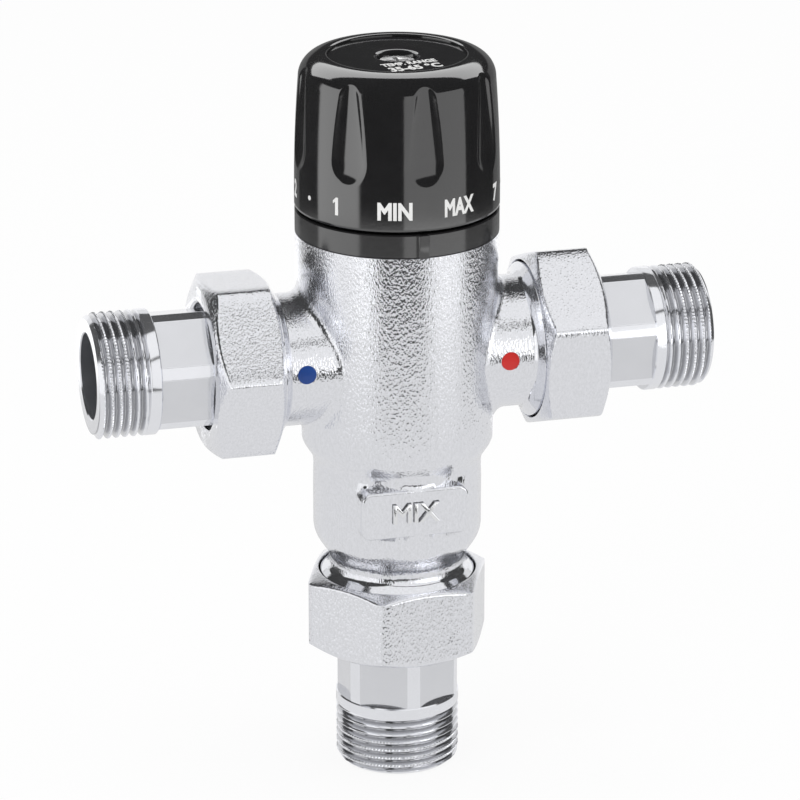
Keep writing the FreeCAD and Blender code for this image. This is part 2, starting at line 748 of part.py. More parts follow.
def make_screw():
    body = new_body("knob_screw")
    head_top = f"({SCREW_SEAT} + screw_head_height)"
    turned(body, "blank", [
        ("0", SCREW_TIP),
        ("screw_diameter / 2", SCREW_TIP),
        ("screw_diameter / 2", SCREW_SEAT),
        ("screw_head_diameter / 2", SCREW_SEAT),
        ("screw_head_diameter / 2", head_top),
        ("0", head_top),
    ])
    for name, across, along in (("slot", "screw_slot_length", "screw_slot_width"),
                                ("cross_slot", "screw_slot_width", "screw_slot_length")):
        slot = new_sketch(body, f"{name}_outline", "XY_Plane", head_top)
        outline(slot, [
            (f"-{across} / 2", f"-{along} / 2"),
            (f"{across} / 2", f"-{along} / 2"),
            (f"{across} / 2", f"{along} / 2"),
            (f"-{across} / 2", f"{along} / 2"),
        ])
        cut_to(body, name, slot, "screw_slot_depth")
    raise_to_crossing(body)
    return body


def make_spindle():
    body = new_body("spindle")
    shaft = "spindle_diameter / 2"
    groove = f"({shaft} - spindle_seal_section)"
    seal_foot = f"({seal_height()} - spindle_seal_section / 2 - seal_room)"
    seal_top = f"({seal_height()} + spindle_seal_section / 2 + seal_room)"
    turned(body, "shaft", [
        ("screw_diameter / 2 + close_fit", f"{SCREW_TIP} - free_fit"),
        ("screw_diameter / 2 + close_fit", SPINDLE_TOP),
        (shaft, SPINDLE_TOP),
        (shaft, CLIP_TOP),
        (f"{shaft} - clip_groove", CLIP_TOP),
        (f"{shaft} - clip_groove", CLIP_FOOT),
        (shaft, CLIP_FOOT),
        (shaft, seal_top),
        (groove, seal_top),
        (groove, seal_foot),
        (shaft, seal_foot),
        (shaft, SPINDLE_FLANGE_TOP),
        ("spindle_flange_diameter / 2", SPINDLE_FLANGE_TOP),
        ("spindle_flange_diameter / 2", SPINDLE_FLANGE_FOOT),
        (shaft, SPINDLE_FLANGE_FOOT),
        (shaft, "spindle_foot"),
        ("0", "spindle_foot"),
        ("0", f"{SCREW_TIP} - free_fit"),
    ][::-1])
    for name, sign in (("near_flat", "-"), ("far_flat", "")):
        cheek = new_sketch(body, f"{name}_outline", "XY_Plane", SPINDLE_TOP)
        edges = [f"{sign}drive_width / 2", f"{sign}spindle_diameter"]
        low, high = edges if sign == "" else edges[::-1]
        outline(cheek, [
            ("-spindle_diameter", low),
            ("spindle_diameter", low),
            ("spindle_diameter", high),
            ("-spindle_diameter", high),
        ])
        cut_to(body, name, cheek, f"{SPINDLE_TOP} - {HUB_FOOT} + free_fit")
    body.Placement = FreeCAD.Placement(Vector(), Rotation(Vector(0, 0, 1), number("flute_turn")))
    raise_to_crossing(body)
    return body


def seal_height():
    """Height of the spindle's seal: halfway up the bonnet's bore."""
    return "((bonnet_ceiling + bonnet_neck_top) / 2)"


def make_seal(label, bore_radius, section, height):
    """O-ring that fills its groove up to the wall it seals against."""
    seal = doc.addObject("Part::Torus", label)
    seal.Label = label
    seal.setExpression("Radius1", bound(f"{bore_radius} - close_fit - {section} / 2"))
    seal.setExpression("Radius2", bound(f"{section} / 2 - close_fit"))
    seal.setExpression("Placement.Base.z", bound(f"{OUTLET_REACH} + {height}"))
    return seal


def make_spindle_clip():
    body = new_body("spindle_clip")
    inner = "spindle_diameter / 2 - clip_groove + close_fit"
    turned(body, "ring", [
        (inner, f"{CLIP_FOOT} + close_fit"),
        (f"{inner} + clip_width", f"{CLIP_FOOT} + close_fit"),
        (f"{inner} + clip_width", f"{CLIP_TOP} - close_fit"),
        (inner, f"{CLIP_TOP} - close_fit"),
    ])
    raise_to_crossing(body)
    return body


def bonnet_seal_height():
    return "(head_seat + seal_section + rim_wall)"


def make_bonnet():
    body = new_body("bonnet")
    thread = "head_bore / 2 - assembly_fit"
    groove = f"{thread} - seal_section"
    seal_foot = f"({bonnet_seal_height()} - seal_section / 2 - seal_room)"
    seal_top = f"({bonnet_seal_height()} + seal_section / 2 + seal_room)"
    turned(body, "shell", [
        ("rim_bore / 2", "cold_rim"),
        ("rim_bore / 2 + rim_wall", "cold_rim"),
        ("rim_bore / 2 + rim_wall", "head_seat"),
        (thread, "head_seat"),
        (thread, seal_foot),
        (groove, seal_foot),
        (groove, seal_top),
        (thread, seal_top),
        (thread, "body_top"),
        ("bonnet_diameter / 2", "body_top"),
        ("bonnet_diameter / 2", "bonnet_height"),
        ("bonnet_neck_diameter / 2", "bonnet_height"),
        ("bonnet_neck_diameter / 2", "bonnet_neck_top"),
        ("spindle_diameter / 2 + close_fit", "bonnet_neck_top"),
        ("spindle_diameter / 2 + close_fit", "bonnet_ceiling"),
        ("bonnet_cavity / 2", "bonnet_ceiling"),
        ("bonnet_cavity / 2", "head_seat + rim_wall"),
        ("rim_bore / 2", "head_seat + rim_wall"),
    ])
    slots = new_sketch(body, "key_slots_outline", "XY_Plane", "bonnet_ceiling")
    outline(slots, [
        ("-key_reach - free_fit", "-key_width / 2 - free_fit"),
        ("key_reach + free_fit", "-key_width / 2 - free_fit"),
        ("key_reach + free_fit", "key_width / 2 + free_fit"),
        ("-key_reach - free_fit", "key_width / 2 + free_fit"),
    ])
    cut_to(body, "key_slots", slots, "bonnet_ceiling - key_slot_start")
    raise_to_crossing(body)
    return body


def make_regulating_nut():
    body = new_body("regulating_nut")
    groove_foot = f"({CUP_CLIP_FOOT} - close_fit)"
    groove_top = f"({CUP_CLIP_TOP} + close_fit)"
    turned(body, "sleeve", [
        ("regulator_cavity / 2", "regulator_foot"),
        ("regulator_diameter / 2", "regulator_foot"),
        ("regulator_diameter / 2", "regulator_top"),
        ("spindle_diameter / 2 + close_fit", "regulator_top"),
        ("spindle_diameter / 2 + close_fit", "regulator_ceiling"),
        ("regulator_cavity / 2", "regulator_ceiling"),
        ("regulator_cavity / 2", groove_top),
        ("regulator_cavity / 2 + clip_groove", groove_top),
        ("regulator_cavity / 2 + clip_groove", groove_foot),
        ("regulator_cavity / 2", groove_foot),
    ])
    for name, sign in (("near_key", "-"), ("far_key", "")):
        edges = [f"{sign}(regulator_diameter / 2 - key_width / 2)", f"{sign}key_reach"]
        low, high = edges if sign == "" else edges[::-1]
        foot = new_sketch(body, f"{name}_outline", "XY_Plane", "key_foot")
        outline(foot, [
            (low, "-key_width / 2"),
            (high, "-key_width / 2"),
            (high, "key_width / 2"),
            (low, "key_width / 2"),
        ])
        key = body.newObject("PartDesign::Pad", name)
        key.Profile = foot
        key.setExpression("Length", bound("key_height"))
        foot.Visibility = False
        doc.recompute()
    raise_to_crossing(body)
    return body


def make_cup_clip():
    body = new_body("cup_clip")
    outer = "regulator_cavity / 2 + clip_groove - close_fit"
    turned(body, "ring", [
        (f"{outer} - clip_width", CUP_CLIP_FOOT),
        (outer, CUP_CLIP_FOOT),
        (outer, CUP_CLIP_TOP),
        (f"{outer} - clip_width", CUP_CLIP_TOP),
    ])
    raise_to_crossing(body)
    return body


def make_overtravel_cup():
    body = new_body("overtravel_cup")
    disc_top = "(cup_foot + cup_thickness)"
    turned(body, "disc", [
        ("pin_diameter / 2 + assembly_fit", "cup_foot"),
        ("regulator_cavity / 2 - free_fit", "cup_foot"),
        ("regulator_cavity / 2 - free_fit", disc_top),
        ("cup_boss_diameter / 2", disc_top),
        ("cup_boss_diameter / 2", f"{disc_top} + cup_boss_height"),
        ("0", f"{disc_top} + cup_boss_height"),
        ("0", PIN_TOP),
        ("pin_diameter / 2 + assembly_fit", PIN_TOP),
    ])
    raise_to_crossing(body)
    return body


def make_spring(label, diameter, wire, turns, foot, top):
    """Coil standing between two flat seats; its round wire is drawn eight-sided to keep the faces few."""
    body = new_body(label)
    section = new_sketch(body, "wire_section", "XZ_Plane")
    across = f"{diameter} / 2"
    up = f"{foot} + {wire} / 2"
    far = f"{wire} / 2"
    near = f"{wire} / 2 * (sqrt(2) - 1)"
    steps = [(far, near), (near, far), (f"-{near}", far), (f"-{far}", near)]
    steps += [(f"-{far}", f"-{near}"), (f"-{near}", f"-{far}"), (near, f"-{far}"), (far, f"-{near}")]
    outline(section, [(f"{across} + {right}", f"{up} + {rise}") for right, rise in steps])
    coil = body.newObject("PartDesign::AdditiveHelix", "coil")
    coil.Profile = section
    coil.ReferenceAxis = (section, ["V_Axis"])
    coil.Mode = "height-turns-growth"
    coil.setExpression("Height", bound(f"{top} - ({foot}) - {wire}"))
    coil.setExpression("Turns", bound(turns))
    section.Visibility = False
    doc.recompute()
    raise_to_crossing(body)
    return body


def make_wax_element():
    body = new_body("wax_element")
    flange_foot = "(hub_height / 2)"
    flange_top = "(hub_height / 2 + element_flange_thickness)"
    turned(body, "case", [
        ("0", "-element_foot"),
        ("element_diameter / 2", "-element_foot"),
        ("element_diameter / 2", flange_foot),
        ("element_flange_diameter / 2", flange_foot),
        ("element_flange_diameter / 2", flange_top),
        ("element_guide_diameter / 2", flange_top),
        ("element_guide_diameter / 2", "element_guide_top"),
        ("pin_diameter / 2 + close_fit", "element_guide_top"),
        ("pin_diameter / 2 + close_fit", PIN_FOOT),
        ("0", PIN_FOOT),
    ])
    raise_to_crossing(body)
    return body


def make_element_pin():
    pin = doc.addObject("Part::Cylinder", "element_pin")
    pin.Label = "element_pin"
    pin.setExpression("Radius", bound("pin_diameter / 2"))
    pin.setExpression("Height", bound(f"{PIN_TOP} - {PIN_FOOT}"))
    pin.setExpression("Placement.Base.z", bound(f"{OUTLET_REACH} + {PIN_FOOT}"))
    return pin


def make_shutter():
    body = new_body("shutter")
    sleeve = "shutter_sleeve / 2"
    inside = "shutter_sleeve / 2 - shutter_wall"
    groove = f"{SHUTTER_LAND} - seal_section"
    seal_half = "(seal_section / 2 + seal_room)"
    turned(body, "sleeve", [
        (inside, SHUTTER_FOOT),
        (sleeve, SHUTTER_FOOT),
        (sleeve, "-land_height / 2"),
        (SHUTTER_LAND, "-land_height / 2"),
        (SHUTTER_LAND, f"-{seal_half}"),
        (groove, f"-{seal_half}"),
        (groove, seal_half),
        (SHUTTER_LAND, seal_half),
        (SHUTTER_LAND, "land_height / 2"),
        (sleeve, "land_height / 2"),
        (sleeve, SHUTTER_TOP),
        (inside, SHUTTER_TOP),
        (inside, "hub_height / 2"),
        ("element_diameter / 2 + close_fit", "hub_height / 2"),
        ("element_diameter / 2 + close_fit", "-hub_height / 2"),
        (inside, "-hub_height / 2"),
    ])
    drilled_ring(body, "hub_height / 2", "hub_hole_circle", "hub_hole_diameter", "hub_height", "hub_hole_count")
    raise_to_crossing(body)
    return body


def drilled_ring(body, top, ring, diameter, depth, count):
    """Ring of holes drilled straight down from the given height."""
    sketch = new_sketch(body, "hole_outline", "XY_Plane", top)
    circle(sketch, f"{ring} / 2", "0", diameter)
    hole = cut_to(body, "hole", sketch, depth)
    axis = new_sketch(body, "hole_axis", "XZ_Plane")
    around(body, "holes", [hole], axis, count)


def make_seat_ring():
    body = new_body("seat_ring")
    base_top = "-seat_ledge + seat_base"
    turned(body, "ring", [
        ("rim_bore / 2", "-seat_ledge"),
        ("shutter_bore / 2 - close_fit", "-seat_ledge"),
        ("shutter_bore / 2 - close_fit", base_top),
        ("rim_bore / 2 + rim_wall", base_top),
        ("rim_bore / 2 + rim_wall", SEAT_TOP),
        ("rim_bore / 2", SEAT_TOP),
    ])
    raise_to_crossing(body)
    return body


def make_spring_plate():
    body = new_body("spring_plate")
    top = "-plate_ledge + plate_thickness"
    turned(body, "disc", [
        ("element_diameter / 2 + free_fit", "-plate_ledge"),
        ("chamber_bore / 2 - close_fit", "-plate_ledge"),
        ("chamber_bore / 2 - close_fit", top),
        ("element_diameter / 2 + free_fit", top),
    ])
    drilled_ring(body, top, "plate_hole_circle", "plate_hole_diameter", "plate_thickness", "hub_hole_count")
    raise_to_crossing(body)
    return body


pieces = [
    make_body(),
    make_mark("cold_mark", "-cold_mark_reach", "cold_mark_height"),
    make_mark("hot_mark", "hot_mark_reach", "hot_mark_height"),
    make_index_ring(),
    make_knob(),
    make_screw(),
    make_bonnet(),
    make_seal("bonnet_seal", "head_bore / 2", "seal_section", bonnet_seal_height()),
    make_spindle(),
    make_seal("spindle_seal", "(spindle_diameter / 2 + close_fit)", "spindle_seal_section", seal_height()),
    make_spindle_clip(),
    make_regulating_nut(),
    make_cup_clip(),
    make_overtravel_cup(),
    make_spring("overtravel_spring", "overtravel_spring_diameter", "overtravel_wire", "overtravel_turns",
                "(cup_foot + cup_thickness)", "regulator_ceiling"),
    make_wax_element(),
    make_element_pin(),
    make_shutter(),
    make_seal("shutter_seal", "shutter_bore / 2", "seal_section", "0"),
    make_seat_ring(),
    make_spring_plate(),
    make_spring("return_spring", "return_spring_diameter", "return_wire", "return_turns",
                "(-plate_ledge + plate_thickness)", "(-hub_height / 2)"),
]
for port in PORTS:
    lengths = "outlet" if port == "mixed" else "inlet"
    pieces.append(make_tail(port, f"{lengths}_neck_length", f"{lengths}_thread_length"))
    pieces.append(make_nut(port))
    pieces.append(make_gasket(port))

doc.recompute()
for item in doc.Objects:
    if "Invalid" in item.State or "Error" in item.State:
        raise RuntimeError(f"{item.Label} did not build: {item.State}")
for piece in pieces:
    if piece.Shape.isNull() or not piece.Shape.isValid():
        raise RuntimeError(f"{piece.Label} is not a sound solid")
    if len(piece.Shape.Solids) != 1:
        raise RuntimeError(f"{piece.Label} has {len(piece.Shape.Solids)} solids")
for piece in pieces:
    piece.Shape.exportStep(f"parts/{piece.Label}.step")
    print(f"{piece.Label:20s} {piece.Shape.Volume / 1000:8.3f} cm3")
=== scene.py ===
# %% [markdown]
# # A mixing valve, dressed for its portrait
# The valve mixes hot and cold water. A forged body carries a union nut and a threaded tail on each of its
# three ports, and a black knob on top sets the temperature. The solids come packed from the CAD step and
# stay where they are. This script gives them finishes and adds what a solid model leaves out: cut threads,
# rounded edges, printed marks and raised letters. Everything is in metres, in the CAD frame.

# %% The frame
import math

import bmesh
import bpy
from mathutils import Matrix, Vector


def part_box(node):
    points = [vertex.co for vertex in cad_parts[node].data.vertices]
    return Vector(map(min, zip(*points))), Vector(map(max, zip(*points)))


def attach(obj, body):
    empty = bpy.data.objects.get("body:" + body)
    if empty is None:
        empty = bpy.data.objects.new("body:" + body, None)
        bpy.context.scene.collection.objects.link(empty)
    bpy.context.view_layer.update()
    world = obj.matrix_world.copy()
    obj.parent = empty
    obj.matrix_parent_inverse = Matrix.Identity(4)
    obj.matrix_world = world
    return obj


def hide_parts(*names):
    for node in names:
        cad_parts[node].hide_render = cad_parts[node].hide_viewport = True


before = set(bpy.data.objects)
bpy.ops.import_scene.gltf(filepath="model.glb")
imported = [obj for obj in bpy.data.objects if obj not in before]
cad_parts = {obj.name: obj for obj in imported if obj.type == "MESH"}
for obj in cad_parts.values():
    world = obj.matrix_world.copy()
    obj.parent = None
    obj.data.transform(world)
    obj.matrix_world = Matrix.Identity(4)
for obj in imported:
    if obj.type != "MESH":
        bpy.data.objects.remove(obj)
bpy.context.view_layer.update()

MM = 0.001
scene = bpy.context.scene


def put(name, data):
    """New object in the scene, with its data."""
    thing = bpy.data.objects.new(name, data)
    scene.collection.objects.link(thing)
    return thing


crossing = sum(corner.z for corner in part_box("cold_gasket")) / 2
CENTRE = Vector((0, 0, crossing))
print(f"{len(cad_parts)} solids; the inlets lie {crossing / MM:.1f} mm above the outlet's end")

# %% [markdown]
# ## The camera
# The photograph was taken from a little to the left and from above, with a long lens. The place and the lens
# were found by laying the tails, the plugs and the knob over the picture until they met.

# %% Camera
LENS = 205.28
SENSOR = 36.0
EYE = Vector((-234.60, -878.23, 314.33)) * MM
AIM = Vector((0.645, 0.0, -11.407)) * MM

camera_data = bpy.data.cameras.new("portrait_camera")
camera_data.lens = LENS
camera_data.sensor_width = SENSOR
camera = put("portrait_camera", camera_data)
camera.location = EYE + CENTRE
camera.rotation_mode = "QUATERNION"
camera.rotation_quaternion = (AIM - EYE).to_track_quat("-Z", "Y")
scene.camera = camera
scene.view_settings.view_transform = "Standard"
print(f"camera {(AIM - EYE).length / MM:.0f} mm from its aim")

# %% [markdown]
# ## Sums in nodes
# Many shapes and finishes here follow a formula, and Blender writes formulas as chains of Math nodes. This
# small class stands for one such number. Adding or multiplying two of them adds the node, so a formula in
# the script reads like a formula.


# %% Fields
class Field:
    """A number that varies over a surface; signs between fields add Math nodes to its tree."""

    def __init__(self, tree, socket):
        self.tree = tree
        self.socket = socket

    def through(self, kind, setting, choice, *others):
        """What a new node makes of this field and others, with one setting."""
        node = self.tree.nodes.new(kind)
        setattr(node, setting, choice)
        for port, value in zip(node.inputs, (self, *others)):
            feed(self.tree, port, value)
        return Field(self.tree, node.outputs[0])

    def math(self, operation, *others):
        return self.through("ShaderNodeMath", "operation", operation, *others)

    def __add__(self, other):
        return self.math("ADD", other)

    def __sub__(self, other):
        return self.math("SUBTRACT", other)

    def __mul__(self, other):
        return self.math("MULTIPLY", other)

    def __truediv__(self, other):
        return self.math("DIVIDE", other)

    def between(self, low, high):
        """Zero below low, one above high and a smooth rise from one to the other."""
        return self.through("ShaderNodeMapRange", "interpolation_type", "SMOOTHSTEP", low, high)


def feed(tree, port, value):
    """Give a socket a field, another socket or a plain value."""
    if isinstance(value, Field):
        value = value.socket
    if isinstance(value, bpy.types.NodeSocket):
        tree.links.new(value, port)
    else:
        port.default_value = value


def add_node(tree, kind, **inputs):
    """New node with what goes into its named inputs."""
    node = tree.nodes.new(kind)
    for name, value in inputs.items():
        feed(tree, node.inputs[name], value)
    return node


def split(tree, vector):
    """The three numbers of a vector, as fields."""
    return [Field(tree, port) for port in add_node(tree, "ShaderNodeSeparateXYZ", Vector=vector).outputs]


print("fields are ready")

# %% [markdown]
# ## The studio
# The picture has a white ground without a horizon. A pale floor catches a faint shadow and is otherwise plain
# white to the camera. No mirror shows it, because the world has a table for that.

# %% Floor
FLOOR_REACH = 3.0
FLOOR_SIDES = 96
FLOOR_DROP = 0.4 * MM
FLOOR_SHADE = 0.10
FLOOR_PAINT = (0.86, 0.86, 0.86, 1)
WHITE = (1, 1, 1, 1)

floor_mesh = bpy.data.meshes.new("floor")
form = bmesh.new()
bmesh.ops.create_circle(form, cap_ends=True, segments=FLOOR_SIDES, radius=FLOOR_REACH)
bmesh.ops.translate(form, verts=form.verts, vec=(0, 0, -FLOOR_DROP))
form.to_mesh(floor_mesh)
form.free()
floor = put("floor", floor_mesh)
floor.visible_glossy = False

pale = bpy.data.materials.new("pale_floor")
pale.use_nodes = True
tree = pale.node_tree
tree.nodes.clear()
path = add_node(tree, "ShaderNodeLightPath")
paint = add_node(tree, "ShaderNodeBsdfDiffuse", Color=FLOOR_PAINT)
glow = add_node(tree, "ShaderNodeEmission", Color=WHITE, Strength=1.0)
seen = Field(tree, path.outputs["Is Camera Ray"]) * (1 - FLOOR_SHADE)
surface = add_node(tree, "ShaderNodeMixShader", Fac=seen)
feed(tree, surface.inputs[1], paint.outputs[0])
feed(tree, surface.inputs[2], glow.outputs[0])
add_node(tree, "ShaderNodeOutputMaterial", Surface=surface.outputs[0])
floor_mesh.materials.append(pale)
print(f"floor {2 * FLOOR_REACH:.0f} m across")

# %% [markdown]
# What makes chrome look like chrome is what it mirrors. The camera sees plain white, but mirrored rays see a
# studio: a white table below, a soft box on the left and a dark hall all round. Diffuse rays get an even
# level, so colours stay as written. Angles are in degrees, and a pair of them is a soft edge.

# %% World
# Each wall: from and to azimuth (0 is the front, positive towards the hot inlet), brightness.
WALLS = [
    (-155, -113, 0.05),
    (-113, -58, 0.98),
    (-58, 120, 0.03),
]
WALL_EDGE = 3.0
FRONT_HALF = (123.0, 117.0)
BACK_WALL_TOP = (9.0, 12.0)
FRONT_WALL_TOP = (14.0, 18.0)
TABLE_EDGE = (-18.1, -17.7)
BEHIND_LEVEL = 0.25
TABLE_LEVEL = 0.76
GAP_LEVEL = 0.03
EVEN_LEVEL = 0.72

world = bpy.data.worlds.new("studio")
scene.world = world
world.use_nodes = True
tree = world.node_tree
tree.nodes.clear()
east, north, up = split(tree, add_node(tree, "ShaderNodeTexCoord").outputs["Generated"])
azimuth = east.math("ARCTAN2", north * -1.0) * math.degrees(1)
elevation = up.math("ARCSINE") * math.degrees(1)
front = azimuth.math("ABSOLUTE").between(*FRONT_HALF)


def blend(low_level, high_level, share):
    """One level where the share is zero, the other where it is one."""
    return (share * -1.0 + 1.0) * low_level + share * high_level


wall_level = BEHIND_LEVEL
for start, end, level in WALLS:
    inside = azimuth.between(start - WALL_EDGE, start) * azimuth.between(end + WALL_EDGE, end)
    wall_level = inside * (level - BEHIND_LEVEL) + wall_level
wall_top = blend(elevation.between(*BACK_WALL_TOP), elevation.between(*FRONT_WALL_TOP), front)
mirrored = blend(wall_level, GAP_LEVEL, wall_top)
mirrored = blend(TABLE_LEVEL, mirrored, elevation.between(*TABLE_EDGE))
path = add_node(tree, "ShaderNodeLightPath")
level = blend(EVEN_LEVEL, mirrored, Field(tree, path.outputs["Is Glossy Ray"]))
level = blend(level, 1.0, Field(tree, path.outputs["Is Camera Ray"]))
sky = add_node(tree, "ShaderNodeBackground", Color=WHITE, Strength=level)
add_node(tree, "ShaderNodeOutputWorld", Surface=sky.outputs[0])
print(f"studio with {len(WALLS)} walls")

# %% [markdown]
# Three soft lamps light what isn't a mirror, and show in no mirror themselves.


# %% Lamps
def area_lamp(name, away, size, watts):
    """Lamp of a width and height at a place measured from the crossing, which it faces."""
    lamp = bpy.data.lights.new(name, "AREA")
    lamp.shape = "RECTANGLE"
    lamp.size, lamp.size_y = size
    lamp.energy = watts
    holder = put(name, lamp)
    holder.location = CENTRE + away
    holder.rotation_mode = "QUATERNION"
    holder.rotation_quaternion = away.to_track_quat("Z", "Y")
    return holder


# Each lamp: place and side in metres, power in watts.
LAMPS = {
    "left_panel": ((-0.9, -0.7, 0.7), 0.8, 4.0),
    "right_panel": ((0.9, -0.6, 0.5), 0.8, 2.0),
    "top_panel": ((0.0, 0.1, 1.2), 0.9, 4.0),
}
for name, (place, side, watts) in LAMPS.items():
    area_lamp(name, Vector(place) - CENTRE, (side, side), watts).visible_glossy = False
print("lamps:", *LAMPS)

# %% [markdown]
# ## Finishes
# Each finish is a small node tree about one shader. Colour, roughness and dents follow noises in Object
# coordinates, so the grain stays on a piece wherever it moves. These tools build such trees.

# %% Tools for finishes
TINT_ENDS = (0.3, 0.7)


def new_finish(name, **inputs):
    """Material with a Principled shader; inputs that are the same all over go straight on its sockets."""
    material = bpy.data.materials.new(name)
    material.use_nodes = True
    shader = material.node_tree.nodes["Principled BSDF"]
    for title, value in inputs.items():
        shader.inputs[title].default_value = value
    return material, material.node_tree, shader


def grain(tree, size, detail=3.0, stretch=None):
    """Noise with spots of about the given size, in Object coordinates."""
    place = add_node(tree, "ShaderNodeTexCoord").outputs["Object"]
    if stretch:
        place = add_node(tree, "ShaderNodeMapping", Vector=place, Scale=stretch).outputs["Vector"]
    noise = add_node(tree, "ShaderNodeTexNoise", Vector=place, Scale=1 / size, Detail=detail, Roughness=0.55)
    return Field(tree, noise.outputs["Fac"])


def point_fields(tree):
    """Where a point lies across, in depth and in height, in Object coordinates."""
    return split(tree, add_node(tree, "ShaderNodeTexCoord").outputs["Object"])


def tinted(tree, spread, dark, light):
    """Colour that runs from dark to light with a field."""
    ramp = add_node(tree, "ShaderNodeValToRGB", Fac=spread)
    for element, position, colour in zip(ramp.color_ramp.elements, TINT_ENDS, (dark, light)):
        element.position = position
        element.color = (*colour, 1)
    return ramp.outputs["Color"]


def dress(tree, shader, colour, roughness, layers):
    """Colour, roughness and a chain of Bump nodes, one for each layer's field, height and strength."""
    feed(tree, shader.inputs["Base Color"], colour)
    feed(tree, shader.inputs["Roughness"], roughness)
    port = shader.inputs["Normal"]
    for spread, height, strength in reversed(layers):
        bump = add_node(tree, "ShaderNodeBump", Height=spread, Distance=height, Strength=strength)
        feed(tree, port, bump.outputs["Normal"])
        port = bump.inputs["Normal"]


print("tools for finishes are ready")

# %% [markdown]
# The body and the nuts are sand-blasted before plating, so the chrome lies on a skin of tiny dents that
# scatter sparkles where light and dark meet. The dents are two noises in Bump nodes: a grain under a
# millimetre tall and half as wide, and a slow swell. The barrel gets a slight belly in the same way, and the
# turned rings and the tablet stay smoother. The plated colour is also a little darker in the grain's dents,
# which is painted shade.

# %% Blasted chrome
GRAIN_STRETCH = (2.0, 2.0, 1.0)
SWELL_SIZE = 6
SWELL_DEPTH = 0.25
POLISH = 0.9
PLATED_AND_DENT_SHADE = ((0.822, 0.831, 0.866), (0.887, 0.895, 0.934))
FOOT_SHADE_TONES = ((0.10, 0.10, 0.11), (0.88, 0.885, 0.90))
FLARE_SIDE = (25.7 * MM, 26.1 * MM)
FLARE_BELOW = (crossing - 47.3 * MM, crossing - 47.7 * MM)
TABLET_FACE = -18.15 * MM
TABLET_SKIN = (TABLET_FACE + 0.5 * MM, TABLET_FACE + 0.2 * MM)
TABLET_TOP = (crossing - 21 * MM, crossing - 22 * MM)
TABLET_POLISH = 0.65
LETTER_SHADE_DEPTHS = (TABLET_FACE - 0.20 * MM, TABLET_FACE - 0.60 * MM)
BELLY_MIDDLE = 89 * MM
BELLY_CURVE = 0.55


def blasted_chrome(name, grain_size, depth, polished=None, painted_shade=None, belly=None):
    """Sand-blasted chrome. The last three make fields: polished is one where the grain was turned away, the
    next is zero where shade is painted dark into the colour, and belly is a slow swelling in metres."""
    material, tree, shader = new_finish(name, Metallic=0.97)
    fine_grain = grain(tree, grain_size, detail=1.0, stretch=GRAIN_STRETCH)
    swell = grain(tree, SWELL_SIZE * grain_size, detail=1.0)
    if painted_shade:
        colour = tinted(tree, painted_shade(tree), *FOOT_SHADE_TONES)
    else:
        # Plated colour, with shade painted a little darker where the grain dents the surface.
        colour = tinted(tree, fine_grain, *PLATED_AND_DENT_SHADE)
    rough = polished(tree) * -POLISH + 1.0 if polished else 1.0
    layers = [(swell, SWELL_DEPTH * depth, rough), (fine_grain, depth, rough)]
    if belly:
        layers.insert(0, (belly(tree), 1.0, 1.0))
    dress(tree, shader, colour, fine_grain * 0.05 + 0.05, layers)
    return material


def smooth_places(tree):
    """One on the turned rings where the body's necks widen towards the nuts, and over half on the tablet."""
    across, depth, height = point_fields(tree)
    side = across.math("ABSOLUTE").between(*FLARE_SIDE)
    below = height.between(*FLARE_BELOW)
    tablet = depth.between(*TABLET_SKIN) * height.between(*TABLET_TOP)
    return side.math("MAXIMUM", below).math("MAXIMUM", tablet * TABLET_POLISH)


def barrel_belly(tree):
    """Slight swelling about the middle of the forged barrel, which tips its top up and its foot down."""
    offset = point_fields(tree)[2] - BELLY_MIDDLE
    return offset * offset * -BELLY_CURVE


def letter_foot_shade(tree):
    """Zero where shade is painted dark in the corner between the raised letters and their tablet, one on the
    letters' faces.
    """
    return point_fields(tree)[1].between(*LETTER_SHADE_DEPTHS)


body_chrome = blasted_chrome("blasted_chrome_body", 0.76 * MM, 0.078 * MM, smooth_places, belly=barrel_belly)
nut_chrome = blasted_chrome("blasted_chrome_nut", 0.76 * MM, 0.095 * MM)
# The word's chrome has shade painted dark into the corner at the letters' feet.
word_chrome = blasted_chrome("blasted_chrome_word", 0.46 * MM, 0.03 * MM, painted_shade=letter_foot_shade)
print("three blasted finishes")

# %% [markdown]
# Turned pieces carry fine rings about their own axis. A tail is bright where the lathe left it, greyer on its
# milled flats and end face, and has shade painted dark in the thread's grooves. The distance from its axis
# and from its end tells which is which.

# %% Turned chrome
LATHE_RINGS = 0.03
RING_DEPTH = 0.004 * MM
INLET_END = 66.3 * MM
TURNED_TONE = 0.95
MILLED_TONE = 0.80
GROOVE_SHADE_TONE = 0.56
RED_SHARE = 0.95
GREEN_SHARE = 0.96
# Radii, and lengths from a tail's end, between which one tone passes into the next.
TURNED_RADII = (12.96 * MM, 13.03 * MM)
CHAMFER_RADII = (12.10 * MM, 12.16 * MM)
CHAMFER_REACH = (1.12 * MM, 1.08 * MM)
GROOVE_SHADE_RADII = (13.0 * MM, 12.2 * MM)
FACE_RADII = (11.9 * MM, 12.0 * MM)
INLET_THREAD = (10.9 * MM, 10.8 * MM)
OUTLET_THREAD = (13.2 * MM, 13.1 * MM)


